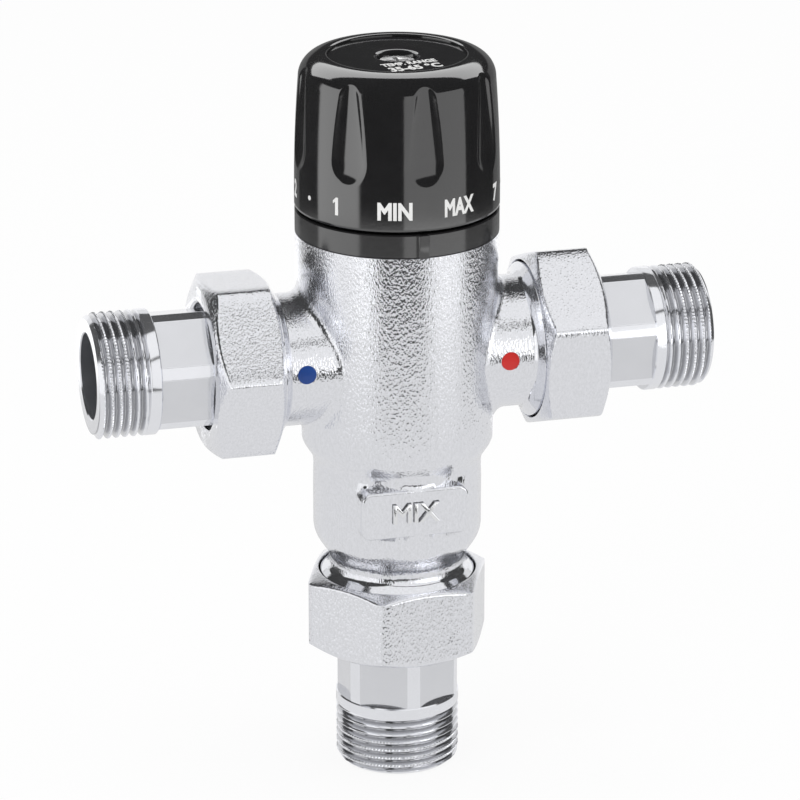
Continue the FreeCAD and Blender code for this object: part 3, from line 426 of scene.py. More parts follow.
def tail_tone(tree, upright):
    """Brightness of a tail's chrome, with shade painted dark in the thread's grooves, for the upright outlet
    or the two inlets.
    """
    across, depth, height = point_fields(tree)
    if upright:
        aside, to_end, reach = across, height, OUTLET_THREAD
    else:
        aside, to_end, reach = height - crossing, across.math("ABSOLUTE") * -1.0 + INLET_END, INLET_THREAD
    radius = (aside * aside + depth * depth).math("SQRT")
    chamfer = to_end.between(*CHAMFER_REACH) * radius.between(*CHAMFER_RADII)
    turned = radius.between(*TURNED_RADII).math("MAXIMUM", chamfer)
    # groove marks the thread's roots, where shade is painted into the colour.
    groove = to_end.between(*reach) * radius.between(*GROOVE_SHADE_RADII) * radius.between(*FACE_RADII)
    groove = groove * (chamfer * -1.0 + 1.0)
    return turned * (TURNED_TONE - MILLED_TONE) + MILLED_TONE - groove * (MILLED_TONE - GROOVE_SHADE_TONE)


def turned_chrome(name, stretch, upright):
    material, tree, shader = new_finish(name, Metallic=0.95)
    rings = grain(tree, 0.25 * MM, detail=1.5, stretch=stretch)
    cloud = grain(tree, 6 * MM)
    tone = tail_tone(tree, upright) * (cloud * 0.08 + 0.96)
    colour = add_node(tree, "ShaderNodeCombineColor", Red=tone * RED_SHARE, Green=tone * GREEN_SHARE,
                      Blue=tone)
    dress(tree, shader, colour.outputs["Color"], cloud * 0.06 + 0.09, [(rings, RING_DEPTH, 1.0)])
    return material


side_chrome = turned_chrome("turned_chrome_side", (1.0, LATHE_RINGS, LATHE_RINGS), False)
upright_chrome = turned_chrome("turned_chrome_upright", (LATHE_RINGS, LATHE_RINGS, 1.0), True)
print("two turned finishes")

# %% [markdown]
# The knob is a gloss black moulding, the index ring under it a little duller. Black plastic still mirrors
# the studio, so its roughness matters more than its colour. A faint moulding skin keeps the mirror images
# from looking like glass. Inside, the parts are turned brass, steel, rubber and a pale polymer.


# %% Plastics, brass, steel and rubber
def moulded(name, dark, light, gloss, skin, index=1.5):
    material, tree, shader = new_finish(name, IOR=index)
    cloud = grain(tree, 5 * MM)
    dents = grain(tree, 0.9 * MM, detail=1.0)
    dress(tree, shader, tinted(tree, cloud, dark, light), cloud * 0.06 + gloss, [(dents, skin, 1.0)])
    return material


def turned_metal(name, dark, light, gloss):
    material, tree, shader = new_finish(name, Metallic=1.0)
    cloud = grain(tree, 4 * MM)
    rings = grain(tree, 0.2 * MM, detail=1.5, stretch=(LATHE_RINGS, LATHE_RINGS, 1.0))
    dress(tree, shader, tinted(tree, cloud, dark, light), rings * 0.1 + gloss, [(rings, RING_DEPTH, 1.0)])
    return material


BLACK = (0.010, 0.010, 0.0105)
knob_black = moulded("gloss_black_knob", BLACK, (0.012, 0.012, 0.0125), 0.06, 0.002 * MM, 2.05)
ring_black = moulded("satin_black_ring", BLACK, (0.013, 0.013, 0.0135), 0.10, 0.003 * MM, 1.9)
plug_blue = moulded("blue_plug", (0.006, 0.050, 0.255), (0.008, 0.062, 0.300), 0.30, 0.004 * MM)
plug_red = moulded("red_plug", (0.56, 0.016, 0.014), (0.64, 0.022, 0.018), 0.30, 0.004 * MM)
print_white = moulded("white_print", (0.78, 0.78, 0.77), (0.86, 0.86, 0.85), 0.42, 0.004 * MM)
polymer = moulded("pale_polymer", (0.70, 0.69, 0.65), (0.77, 0.76, 0.72), 0.42, 0.006 * MM)
rubber = moulded("black_rubber", (0.016, 0.016, 0.016), (0.026, 0.026, 0.026), 0.62, 0.010 * MM)
brass = turned_metal("turned_brass", (0.66, 0.46, 0.19), (0.74, 0.54, 0.25), 0.20)
steel = turned_metal("zinc_steel", (0.68, 0.68, 0.68), (0.80, 0.80, 0.80), 0.26)
wire = turned_metal("spring_wire", (0.48, 0.48, 0.49), (0.60, 0.60, 0.61), 0.28)
print("ten more finishes")

# %% [markdown]
# ## Two ways to a piece
# A solid whose shape is already right is copied, welded and shaded smooth, with creases only where faces
# meet at a real corner. A piece that needs finer form starts as a blank on a lathe: an outline turned about
# the upright axis.

# %% Helpers for pieces
CREASE = math.radians(28)


def finish_piece(piece, body, slot, *nodes):
    """Hook a piece to its CAD body and hide the solids that it stands for; the finish's name is not used."""
    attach(piece, body)
    if nodes:
        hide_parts(*nodes)
    piece.data.calc_loop_triangles()
    print(f"{piece.name}: {len(piece.data.loop_triangles)} triangles")


def shade(mesh, crease=CREASE):
    mesh.polygons.foreach_set("use_smooth", [True] * len(mesh.polygons))
    mesh.set_sharp_from_angle(angle=crease)


def welded_copy(node, name, material):
    """Copy of a solid whose loose triangles are joined, so that it can be shaded smooth."""
    form = bmesh.new()
    form.from_mesh(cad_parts[node].data)
    bmesh.ops.remove_doubles(form, verts=form.verts, dist=0.001 * MM)
    mesh = bpy.data.meshes.new(name)
    form.to_mesh(mesh)
    form.free()
    mesh.materials.clear()
    mesh.materials.append(material)
    shade(mesh)
    return put(name, mesh)


def lathe(name, outline, around):
    """Closed blank turned about Z from a closed outline of (radius, height) points, outside first."""
    rows = len(outline)
    places = []
    for radius, height in outline:
        for step in range(around):
            angle = 2 * math.pi * step / around
            places.append((radius * math.cos(angle), radius * math.sin(angle), height))
    faces = []
    for row in range(rows):
        here, there = row * around, (row + 1) % rows * around
        for step in range(around):
            aside = (step + 1) % around
            faces.append((here + step, here + aside, there + aside, there + step))
    mesh = bpy.data.meshes.new(name)
    mesh.from_pydata(places, [], faces)
    return put(name, mesh)


def fine(outline, step):
    """The outline's points with more between them, no further apart than the step."""
    points = []
    for start, end in zip(outline, outline[1:]):
        pieces = max(1, math.ceil(math.dist(start, end) / step))
        for index in range(pieces):
            share = index / pieces
            points.append((start[0] + share * (end[0] - start[0]), start[1] + share * (end[1] - start[1])))
    return points + [outline[-1]]


def as_mesh(thing):
    """Plain mesh of an object, as its modifiers or its text leave it."""
    bpy.context.view_layer.update()
    return bpy.data.meshes.new_from_object(thing.evaluated_get(bpy.context.evaluated_depsgraph_get()))


def set_in_place(piece, material, matrix=Matrix.Identity(4), crease=CREASE):
    """Turn a piece's modifier into plain mesh, put it in its place and shade it."""
    piece.data.materials.clear()
    piece.data.materials.append(material)
    mesh = as_mesh(piece)
    piece.modifiers.clear()
    piece.data = mesh
    mesh.name = piece.name
    mesh.transform(matrix)
    shade(mesh, crease)


print("lathe and welding bench are ready")

# %% [markdown]
# ## Cuts as Geometry Nodes
# A milling cutter, a threading die and the flutes of the knob all do one thing to a turned blank: they take
# the surface down to a smaller radius, by a rule of angle and height. So each is one Set Position node whose
# position is a formula. A smooth minimum in place of a plain one leaves the slightly rounded edge of a forged
# or moulded corner. The sizes are named inputs of the tree, so one tree serves every hexagon.


# %% Cutting trees
class Cut:
    """Geometry Nodes tree that moves each point of a blank to a new radius about the Z axis."""

    def __init__(self, name, sizes):
        self.tree = bpy.data.node_groups.new(name, "GeometryNodeTree")
        face = self.tree.interface
        face.new_socket("Geometry", in_out="INPUT", socket_type="NodeSocketGeometry")
        face.new_socket("Geometry", in_out="OUTPUT", socket_type="NodeSocketGeometry")
        kinds = dict.fromkeys(sizes, "NodeSocketFloat")
        kinds["Finish"] = "NodeSocketMaterial"
        self.keys = {}
        for size, kind in kinds.items():
            self.keys[size] = face.new_socket(size, in_out="INPUT", socket_type=kind).identifier
        self.given = self.tree.nodes.new("NodeGroupInput")
        self.place = self.tree.nodes.new("GeometryNodeInputPosition").outputs[0]
        across, aside, self.height = split(self.tree, self.place)
        self.angle = aside.math("ARCTAN2", across)
        self.radius = (across * across + aside * aside).math("SQRT")

    def sizes(self):
        """The tree's sizes as fields, in the order of their names."""
        return [Field(self.tree, self.given.outputs[size]) for size in self.keys if size != "Finish"]

    def close(self, new_radius):
        """Finish the tree: scale each point's radius and hand the mesh on."""
        tree, given = self.tree, self.given
        share = new_radius / self.radius
        stretch = add_node(tree, "ShaderNodeCombineXYZ", X=share, Y=share, Z=1.0)
        moved = add_node(tree, "ShaderNodeVectorMath")
        moved.operation = "MULTIPLY"
        feed(tree, moved.inputs[0], self.place)
        feed(tree, moved.inputs[1], stretch.outputs[0])
        cut = add_node(tree, "GeometryNodeSetPosition", Geometry=given.outputs["Geometry"],
                       Position=moved.outputs[0])
        solid = add_node(tree, "GeometryNodeRealizeInstances", Geometry=cut.outputs[0])
        coat = add_node(tree, "GeometryNodeSetMaterial", Geometry=solid.outputs[0],
                        Material=given.outputs["Finish"])
        feed(tree, tree.nodes.new("NodeGroupOutput").inputs[0], coat.outputs[0])

    def apply(self, piece, finish, **sizes):
        """Put the tree on a piece with its sizes, which are named with _ for a blank."""
        modifier = piece.modifiers.new(self.tree.name, "NODES")
        modifier.node_group = self.tree
        modifier[self.keys["Finish"]] = finish
        for name, value in sizes.items():
            modifier[self.keys[name.replace("_", " ")]] = float(value)


print("cutting trees can be built")

# %% [markdown]
# The first tree mills six flats, for the nuts and the tails' necks. The second is the threading die. It
# counts each point's way from the nearest groove in pitches, and nicks the crests near the end.

# %% Cutter and die
HALF_FLAT = math.pi / 6
FLANK = (0.02, 0.47)
RUN_IN = 0.5
CREST = (0.75, 0.98)
NICKS_RUN_IN = 0.4
CUT_SKIN = 1.5

mill = Cut("mill_six_flats", ["Across Flats", "Turn", "Edge Round", "From", "To"])
across_flats, turn, edge_round, start, end = mill.sizes()
sector = (mill.angle - turn - HALF_FLAT).math("WRAP", HALF_FLAT, -HALF_FLAT)
flat = across_flats * 0.5 / sector.math("COSINE")
milled = mill.radius.math("SMOOTH_MIN", flat, edge_round)
reach = mill.height.math("GREATER_THAN", start) * mill.height.math("LESS_THAN", end)
mill.close(mill.radius + (milled - mill.radius) * reach)

die = Cut("cut_thread", ["Outside Radius", "Pitch", "Depth", "Turn", "Groove At", "From", "To", "Nicks",
                         "Nick Depth", "Nicked From"])
outside, pitch, depth, turn, groove_at, start, end, nicks, nick_depth, nicked_from = die.sizes()
turns = (die.angle - turn) / (2 * math.pi)
from_groove = ((die.height - groove_at) / pitch - turns).math("WRAP", 0.5, -0.5)
ridge = from_groove.math("ABSOLUTE").between(*FLANK)
run_in = die.height.between(start, start + pitch * RUN_IN)
groove = depth * (ridge * -1.0 + 1.0) * run_in
tooth = (die.angle * nicks).math("COSINE") * 0.5 + 0.5
nicked = die.height.between(nicked_from, nicked_from + pitch * NICKS_RUN_IN)
nick = tooth * ridge.between(*CREST) * nicked * nick_depth
reach = die.height.math("GREATER_THAN", start) * die.height.math("LESS_THAN", end)
outer = die.radius.math("GREATER_THAN", outside - depth * CUT_SKIN)
cut_down = die.radius.math("MINIMUM", outside - groove - nick)
die.close(die.radius + (cut_down - die.radius) * reach * outer)
print("cutting trees:", mill.tree.name, die.tree.name)

# %% [markdown]
# The third tree is the gouge for the knob's flutes. Its cutter is a leaning cone with a ball for its foot, so
# a flute is widest low down. Where the cutter misses the knob, the smooth minimum keeps the old radius.

# %% Gouge
FAR = 1.0

gouge = Cut("carve_flutes", ["Flutes", "Turn", "Foot Axis", "Foot Radius", "Tip Axis", "Tip Radius", "Low",
                             "Length", "Edge Round"])
flutes, turn, foot_axis, foot_radius, tip_axis, tip_radius, low, length, edge_round = gouge.sizes()
half = flutes.math("POWER", -1.0) * math.pi
bearing = (gouge.angle - turn).math("WRAP", half, half * -1.0)
rise = ((gouge.height - low) / length).math("MAXIMUM", 0.0)
drop = (low - gouge.height).math("MAXIMUM", 0.0)
axis = foot_axis + (tip_axis - foot_axis) * rise
cutter = foot_radius + (tip_radius - foot_radius) * rise
offset = axis * bearing.math("SINE")
squared = cutter * cutter - drop * drop - offset * offset
missed = squared.math("LESS_THAN", 0.0)
carved = axis * bearing.math("COSINE") - squared.math("MAXIMUM", 0.0).math("SQRT") + missed * FAR
gouge.close(gouge.radius.math("SMOOTH_MIN", carved, edge_round))
print("cutting tree:", gouge.tree.name)

# %% [markdown]
# ## The forged body
# The body is one forging, drawn in CAD with its drafted barrel, port necks and fillets, so it only needs the
# blasted chrome. Its mesh is uneven beside the plugs' holes and round the tablet, and a mirror shows that. So
# the necks get the normals of a true cylinder and the tablet those of a plane. No point moves.

# %% Body
PORT_NECK_RADIUS = 14.0 * MM
ON_NECK = 0.01 * MM
ON_TABLET = 0.02 * MM
NECK_FACING = 0.99
TABLET_FACING = 0.999

body = welded_copy("body", "forged_body", body_chrome)
normals = [corner.vector.copy() for corner in body.data.corner_normals]
for face in body.data.polygons:
    on_tablet = abs(face.center.y - TABLET_FACE) < ON_TABLET and face.normal.y < -TABLET_FACING
    for corner in face.loop_indices:
        if on_tablet:
            normals[corner] = face.normal.copy()
        place = body.data.vertices[body.data.loops[corner].vertex_index].co
        outward = Vector((0, place.y, place.z - crossing))
        on_neck = abs(outward.length - PORT_NECK_RADIUS) < ON_NECK
        if on_neck and face.normal.dot(outward.normalized()) > NECK_FACING:
            normals[corner] = outward.normalized()
body.data.normals_split_custom_set(normals)
finish_piece(body, "housing", "forged_chrome", "body")

# %% [markdown]
# The tablet on the front carries the outlet's word in raised letters. Text gives the letters, and an
# extrusion with a small bevel stands them up from the tablet.


# %% Raised word
def letters(name, text, width, height, thickness, weight):
    """Mesh of a line of bevelled text about its centre, at its width and height, standing on the XY plane."""
    curve = bpy.data.curves.new(name, "FONT")
    curve.body = text
    curve.align_x = "CENTER"
    curve.extrude = weight
    curve.bevel_depth = weight
    curve.bevel_resolution = 1
    curve.resolution_u = 4
    holder = put(name, curve)
    mesh = as_mesh(holder)
    mesh.name = name
    bpy.data.objects.remove(holder)
    bpy.data.curves.remove(curve)
    low = Vector([min(v.co[axis] for v in mesh.vertices) for axis in range(3)])
    high = Vector([max(v.co[axis] for v in mesh.vertices) for axis in range(3)])
    stretch = [size / (high[axis] - low[axis]) for axis, size in enumerate((width, height, thickness))]
    foot = Vector(((low.x + high.x) / 2, (low.y + high.y) / 2, low.z))
    mesh.transform(Matrix.Diagonal((*stretch, 1)) @ Matrix.Translation(-foot))
    form = bmesh.new()
    form.from_mesh(mesh)
    bmesh.ops.remove_doubles(form, verts=form.verts, dist=0.002 * MM)
    form.to_mesh(mesh)
    form.free()
    return mesh


WORD_SIZE = (10.2 * MM, 4.3 * MM)
WORD_PLACE = (-0.7 * MM, -30.0 * MM)
WORD_PROUD = 0.75 * MM
WORD_WEIGHT = 0.03
WORD_SINK = 0.10 * MM

word_mesh = letters("raised_word", "MIX", *WORD_SIZE, WORD_PROUD + WORD_SINK, WORD_WEIGHT)
facing_front = Matrix.Rotation(math.radians(90), 4, "X")
word_mesh.transform(
    Matrix.Translation((WORD_PLACE[0], TABLET_FACE + WORD_SINK, crossing + WORD_PLACE[1])) @ facing_front
)
word_mesh.materials.append(word_chrome)
shade(word_mesh)
word = put("raised_word", word_mesh)
finish_piece(word, "housing", "forged_chrome")

# %% [markdown]
# ## Union nuts
# Each union nut is a hexagon with a cone at either end. The blank is a turned ring with those two cones, and
# the milling tree takes its side down to six flats. The smooth minimum rounds every corner a little, which
# catches the thin highlights that forged nuts show.

# %% Nuts
def span(node, port):
    """How far from the crossing a piece on a port starts and ends."""
    low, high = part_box(node)
    if port == "cold":
        return -high.x, -low.x
    if port == "hot":
        return low.x, high.x
    return crossing - high.z, crossing - low.z


AT_CENTRE = Matrix.Translation(CENTRE)
PORTS = {
    "cold": AT_CENTRE @ Matrix.Rotation(math.radians(-90), 4, "Y"),
    "hot": AT_CENTRE @ Matrix.Rotation(math.radians(90), 4, "Y"),
    "mixed": AT_CENTRE @ Matrix.Rotation(math.radians(180), 4, "X"),
}
NUT_FLATS = 35.8 * MM
NUT_CORNER = 20.45 * MM
NUT_MOUTH = 17.1 * MM
NUT_MOUTH_CONE = 1.43 * MM
NUT_END = 16.84 * MM
NUT_END_CONE = 1.8 * MM
NUT_BORE = 16.7 * MM
NUT_THROAT = 13.35 * MM
NUT_LIP = 2.1 * MM
NUT_ROUND = 0.45 * MM
NUT_CORNER_ROUND = 1.7 * MM
NUT_TURN = {"cold": 35.1, "hot": 9.2, "mixed": 53.3}
NUT_POINTS = 360
NUT_STEP = 0.40 * MM

nuts = []
for port, matrix in PORTS.items():
    start, end = span(f"{port}_nut", port)
    side = [
        (NUT_MOUTH, start),
        (NUT_CORNER, start + NUT_MOUTH_CONE),
        (NUT_CORNER, end - NUT_END_CONE),
        (NUT_END, end),
    ]
    inside = [
        (NUT_THROAT + NUT_ROUND, end),
        (NUT_THROAT, end - NUT_ROUND),
        (NUT_THROAT, end - NUT_LIP),
        (NUT_BORE, end - NUT_LIP),
        (NUT_BORE, start + NUT_ROUND),
        (NUT_BORE + NUT_ROUND / 2, start),
    ]
    nut = lathe(f"{port}_union_nut", fine(side, NUT_STEP) + inside, NUT_POINTS)
    mill.apply(nut, nut_chrome, Across_Flats=NUT_FLATS, Turn=math.radians(NUT_TURN[port]),
               Edge_Round=NUT_CORNER_ROUND, From=start - MM, To=end + MM)
    set_in_place(nut, nut_chrome, matrix)
    finish_piece(nut, "housing", "nut_chrome", f"{port}_nut")
    nuts.append(nut)

# %% [markdown]
# ## Threaded tails
# A tail is turned from bar: a flange that the nut pulls in, a neck with six flats for a spanner, a plain
# collar and a pipe thread. The thread follows a helix, so the die tree compares each point's height with its
# angle. The crests nearest the end are nicked all round, which gives hemp or tape a hold and shows as rows
# of bright dots.

# %% Tails
THREAD_RADIUS = 13.22 * MM
THREAD_PITCH = 1.814 * MM
THREAD_DEPTH = 1.16 * MM
THREAD_MOUTH = 0.81 * MM
THREAD_CHAMFER = 1.1 * MM
COLLAR_LENGTH = 2.2 * MM
TAIL_BORE = 9.05 * MM
TAIL_FLANGE = 16.1 * MM
FLANGE_LENGTH = 3.0 * MM
TAIL_NECK_RADIUS = 13.05 * MM
NECK_FLATS = 23.8 * MM
NECK_ROUND = 0.05 * MM
THREAD_LENGTH = {"cold": 13.1 * MM, "hot": 13.1 * MM, "mixed": 15.4 * MM}
TAIL_TURN = {"cold": 44.7, "hot": 12.7, "mixed": 29.0}
TAIL_POINTS = 600
THREAD_STEP = 0.14 * MM
NECK_STEP = 2.0 * MM
HAIR = 0.02 * MM
EDGE = 0.25 * MM
NICKS = 110
NICK_DEPTH = 0.30 * MM
NICKED_TURNS = 4.3

tails = []
for port, matrix in PORTS.items():
    start, end = span(f"{port}_tail", port)
    neck_start = start + FLANGE_LENGTH
    ledge = end - THREAD_LENGTH[port]
    thread_start = ledge + COLLAR_LENGTH
    neck = fine([(TAIL_NECK_RADIUS, neck_start + HAIR), (TAIL_NECK_RADIUS, ledge - HAIR)], NECK_STEP)
    collar = [(THREAD_RADIUS - EDGE, ledge), (THREAD_RADIUS, ledge + EDGE)]
    thread = fine([(THREAD_RADIUS, thread_start), (THREAD_RADIUS, end - THREAD_CHAMFER),
                   (THREAD_RADIUS - THREAD_CHAMFER, end)], THREAD_STEP)
    mouth = [(TAIL_BORE + EDGE, end), (TAIL_BORE, end - EDGE)]
    flange = [(TAIL_BORE, start), (TAIL_FLANGE, start), (TAIL_FLANGE, neck_start),
              (TAIL_NECK_RADIUS, neck_start)]
    tail = lathe(f"{port}_union_tail", flange + neck + collar + thread + mouth, TAIL_POINTS)
    chrome = upright_chrome if port == "mixed" else side_chrome
    turned = math.radians(TAIL_TURN[port])
    mill.apply(tail, chrome, Across_Flats=NECK_FLATS, Turn=turned, Edge_Round=NECK_ROUND,
               From=neck_start + HAIR / 2, To=ledge - HAIR / 2)
    die.apply(tail, chrome, Outside_Radius=THREAD_RADIUS, Pitch=THREAD_PITCH, Depth=THREAD_DEPTH, Turn=turned,
              Groove_At=thread_start + THREAD_MOUTH, From=thread_start, To=end, Nicks=NICKS,
              Nick_Depth=NICK_DEPTH, Nicked_From=end - NICKED_TURNS * THREAD_PITCH)
    set_in_place(tail, chrome, matrix)
    finish_piece(tail, "housing", "machined_chrome", f"{port}_tail")
    tails.append(tail)

# %% [markdown]
# ## The knob
# The knob is a drafted cup with a softly rounded top and eight tapering flutes for wet fingers. The blank's
# outline has all of its turned form, with the cup's inside, the recess and the screw's well, and the gouge
# tree cuts the flutes with the same sizes as the solid.

# %% Knob
KNOB_FOOT, KNOB_TOP = (corner.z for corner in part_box("knob"))
KNOB_RADIUS = 21.45 * MM
KNOB_TOP_RADIUS = 20.1 * MM
KNOB_BOW = 330.0 * MM
KNOB_EDGE = 5.0 * MM
RECESS_RADIUS = 14.45 * MM
RECESS_FLOOR = KNOB_TOP - 0.7 * MM
WELL_RADIUS = 4.3 * MM
WELL_DEPTH = 3.3 * MM
HOLE_RADIUS = 1.9 * MM
HUB_RADIUS = 7.0 * MM
HUB_FOOT = KNOB_TOP - 14.1 * MM
CUP_RADIUS = 17.2 * MM
CUP_CEILING = KNOB_TOP - 5.1 * MM
FOOT_ROUND = 0.35 * MM
RIM_ROUND = 0.45 * MM
FLUTES = 8
FLUTE_TURN = 1.6
FLUTE_FOOT_AXIS = 29.84 * MM
FLUTE_FOOT_RADIUS = 9.8 * MM
FLUTE_TIP_AXIS = 21.90 * MM
FLUTE_TIP_RADIUS = 2.4 * MM
FLUTE_LOW = 14.4 * MM
FLUTE_LENGTH = 17.2 * MM
FLUTE_ROUND = 0.40 * MM
KNOB_CREASE = math.radians(60)
KNOB_POINTS = 576
KNOB_STEP = 0.36 * MM
EDGE_STEPS = 22
RIM_STEPS = 4


def knob_side(height):
    """Radius of the knob's side, which bows out a little between its foot and its top."""
    chord = KNOB_TOP - KNOB_FOOT
    share = (height - KNOB_FOOT) / chord
    bow = chord * chord * share * (1 - share) / (2 * KNOB_BOW)
    return KNOB_RADIUS + share * (KNOB_TOP_RADIUS - KNOB_RADIUS) + bow


def arc(centre, radius, start, end, steps):
    """Points of an arc in the outline's plane, by angles in degrees."""
    points = []
    for step in range(steps + 1):
        angle = math.radians(start + (end - start) * step / steps)
        points.append((centre[0] + radius * math.cos(angle), centre[1] + radius * math.sin(angle)))
    return points


edge_height = KNOB_TOP - KNOB_EDGE
edge_centre = (knob_side(edge_height) - KNOB_EDGE, edge_height)
side_steps = math.ceil((edge_height - KNOB_FOOT) / KNOB_STEP)
side_heights = [KNOB_FOOT + FOOT_ROUND + (edge_height - KNOB_FOOT - FOOT_ROUND) * step / side_steps
                for step in range(side_steps)]
outline = [(CUP_RADIUS, KNOB_FOOT), (KNOB_RADIUS - FOOT_ROUND, KNOB_FOOT)]
outline += [(knob_side(height), height) for height in side_heights]
outline += arc(edge_centre, KNOB_EDGE, 0, 90, EDGE_STEPS)
outline += arc((RECESS_RADIUS + RIM_ROUND, KNOB_TOP - RIM_ROUND), RIM_ROUND, 90, 180, RIM_STEPS)
outline += [
    (RECESS_RADIUS, RECESS_FLOOR),
    (WELL_RADIUS + 1.5 * RIM_ROUND, RECESS_FLOOR),
    (WELL_RADIUS + RIM_ROUND, RECESS_FLOOR),
    (WELL_RADIUS, RECESS_FLOOR - RIM_ROUND),
    (WELL_RADIUS, RECESS_FLOOR - WELL_DEPTH),
    (HOLE_RADIUS, RECESS_FLOOR - WELL_DEPTH),
    (HOLE_RADIUS, HUB_FOOT),
    (HUB_RADIUS, HUB_FOOT),
    (HUB_RADIUS, CUP_CEILING),
    (CUP_RADIUS, CUP_CEILING),
]
knob = lathe("fluted_knob", outline, KNOB_POINTS)
gouge.apply(knob, knob_black, Flutes=FLUTES, Turn=math.radians(FLUTE_TURN), Foot_Axis=FLUTE_FOOT_AXIS,
            Foot_Radius=FLUTE_FOOT_RADIUS, Tip_Axis=FLUTE_TIP_AXIS, Tip_Radius=FLUTE_TIP_RADIUS,
            Low=KNOB_FOOT + FLUTE_LOW, Length=FLUTE_LENGTH, Edge_Round=FLUTE_ROUND)
set_in_place(knob, knob_black, crease=KNOB_CREASE)
finish_piece(knob, "knob_set", "black_knob", "knob")

# %% [markdown]
# The ring under the knob, and later the screw on top, keep their solids. A bevel gives their edges a glint.

# %% Index ring
SOFT_EDGE = 0.25 * MM


def softened(node, name, material, segments, sharpest):
    """Copy of a solid with a bevel on its edges that are sharper than an angle in degrees."""
    piece = welded_copy(node, name, material)
    bevel = piece.modifiers.new("soft_edge", "BEVEL")
    bevel.width = SOFT_EDGE
    bevel.segments = segments
    bevel.limit_method = "ANGLE"
    bevel.angle_limit = math.radians(sharpest)
    set_in_place(piece, material)
    return piece


index_ring = softened("index_ring", "index_collar", ring_black, 1, 40)
finish_piece(index_ring, "housing", "black_ring", "index_ring")

# %% [markdown]
# ## The printed scale
# White marks run round the knob's foot: the two ends of the scale, numbers between them and a dot midway from
# one number to the next. They are printed, so they lie on the surface as thin films. Each word is sliced into
# narrow strips and wrapped about the axis, so that it follows the curve.

# %% Scale
PRINT_THICK = 0.03 * MM
PRINT_LIFT = 0.02 * MM
PRINT_HEIGHT = crossing + 37.0 * MM
PRINT_TALL = 3.8 * MM
STRIP = 0.35 * MM
NUMBER_FIRST = -50.8
NUMBER_STEP = -42.3
NUMBERS = 7
WORDS = [("MIN", -16.1, 7.2 * MM), ("MAX", 22.1, 7.5 * MM)]
ONE_WIDTH = 1.3 * MM
NUMBER_WIDTH = 2.3 * MM
PRINT_WEIGHT = 0.04
FIGURE_ONE = [(0.42, 0.0), (1.0, 0.0), (1.0, 1.0), (0.60, 1.0), (0.0, 0.80), (0.0, 0.63), (0.42, 0.75)]


def figure_one(width):
    """The figure 1 with a flag, because the built-in typeface draws it as a bare stroke."""
    count = len(FIGURE_ONE)
    places = [((x - 0.5) * width, (y - 0.5) * PRINT_TALL, z)
              for z in (0.0, PRINT_THICK) for x, y in FIGURE_ONE]
    faces = [tuple(reversed(range(count))), tuple(range(count, 2 * count))]
    for index in range(count):
        after = (index + 1) % count
        faces.append((index, after, count + after, count + index))
    mesh = bpy.data.meshes.new("print_1")
    mesh.from_pydata(places, [], faces)
    return mesh


def sliced(mesh):
    """Cut a flat mesh into upright strips, so that it can bend."""
    form = bmesh.new()
    form.from_mesh(mesh)
    low = min(v.co.x for v in form.verts)
    high = max(v.co.x for v in form.verts)
    for index in range(1, math.ceil((high - low) / STRIP)):
        everything = form.verts[:] + form.edges[:] + form.faces[:]
        place = (low + index * STRIP, 0, 0)
        bmesh.ops.bisect_plane(form, geom=everything, plane_co=place, plane_no=(1, 0, 0))
    form.to_mesh(mesh)
    form.free()


def wrapped(mesh, bearing):
    """Bend a flat mesh round the knob's side, at a bearing from the front, in degrees."""
    for vertex in mesh.vertices:
        level = PRINT_HEIGHT + vertex.co.y
        radius = knob_side(level) + PRINT_LIFT + vertex.co.z
        angle = math.radians(bearing) + vertex.co.x / KNOB_RADIUS
        vertex.co = (radius * math.sin(angle), -radius * math.cos(angle), level)


def joined(name, meshes, material):
    """One piece from several meshes."""
    form = bmesh.new()
    for mesh in meshes:
        form.from_mesh(mesh)
        bpy.data.meshes.remove(mesh)
    whole = bpy.data.meshes.new(name)
    form.to_mesh(whole)
    form.free()
    whole.materials.append(material)
    shade(whole)
    return put(name, whole)


marks = list(WORDS)
for index in range(NUMBERS):
    width = NUMBER_WIDTH if index else ONE_WIDTH
    marks.append((str(index + 1), NUMBER_FIRST + NUMBER_STEP * index, width))
printed = []
for text, bearing, width in marks:
    if text == "1":
        mesh = figure_one(width)
    else:
        mesh = letters(f"print_{text}", text, width, PRINT_TALL, PRINT_THICK, PRINT_WEIGHT)
    sliced(mesh)
    wrapped(mesh, bearing)
    printed.append(mesh)
scale = joined("printed_scale", printed, print_white)
finish_piece(scale, "knob_set", "black_knob")

# %% [markdown]
# The dots are instances of a small disc on a ring of points, made with Geometry Nodes. Each faces outwards,
# half sunk in the knob's side.

# %% Dots
DOT_POINTS = 20
DOT_SIZES = {
    "Count": NUMBERS - 1,
    "Ring Radius": knob_side(PRINT_HEIGHT),
    "Height": PRINT_HEIGHT,
    "First": math.radians(NUMBER_FIRST + NUMBER_STEP / 2),
    "Step": math.radians(NUMBER_STEP),
    "Dot Radius": 0.5 * MM,
    "Depth": 4 * PRINT_THICK,
}

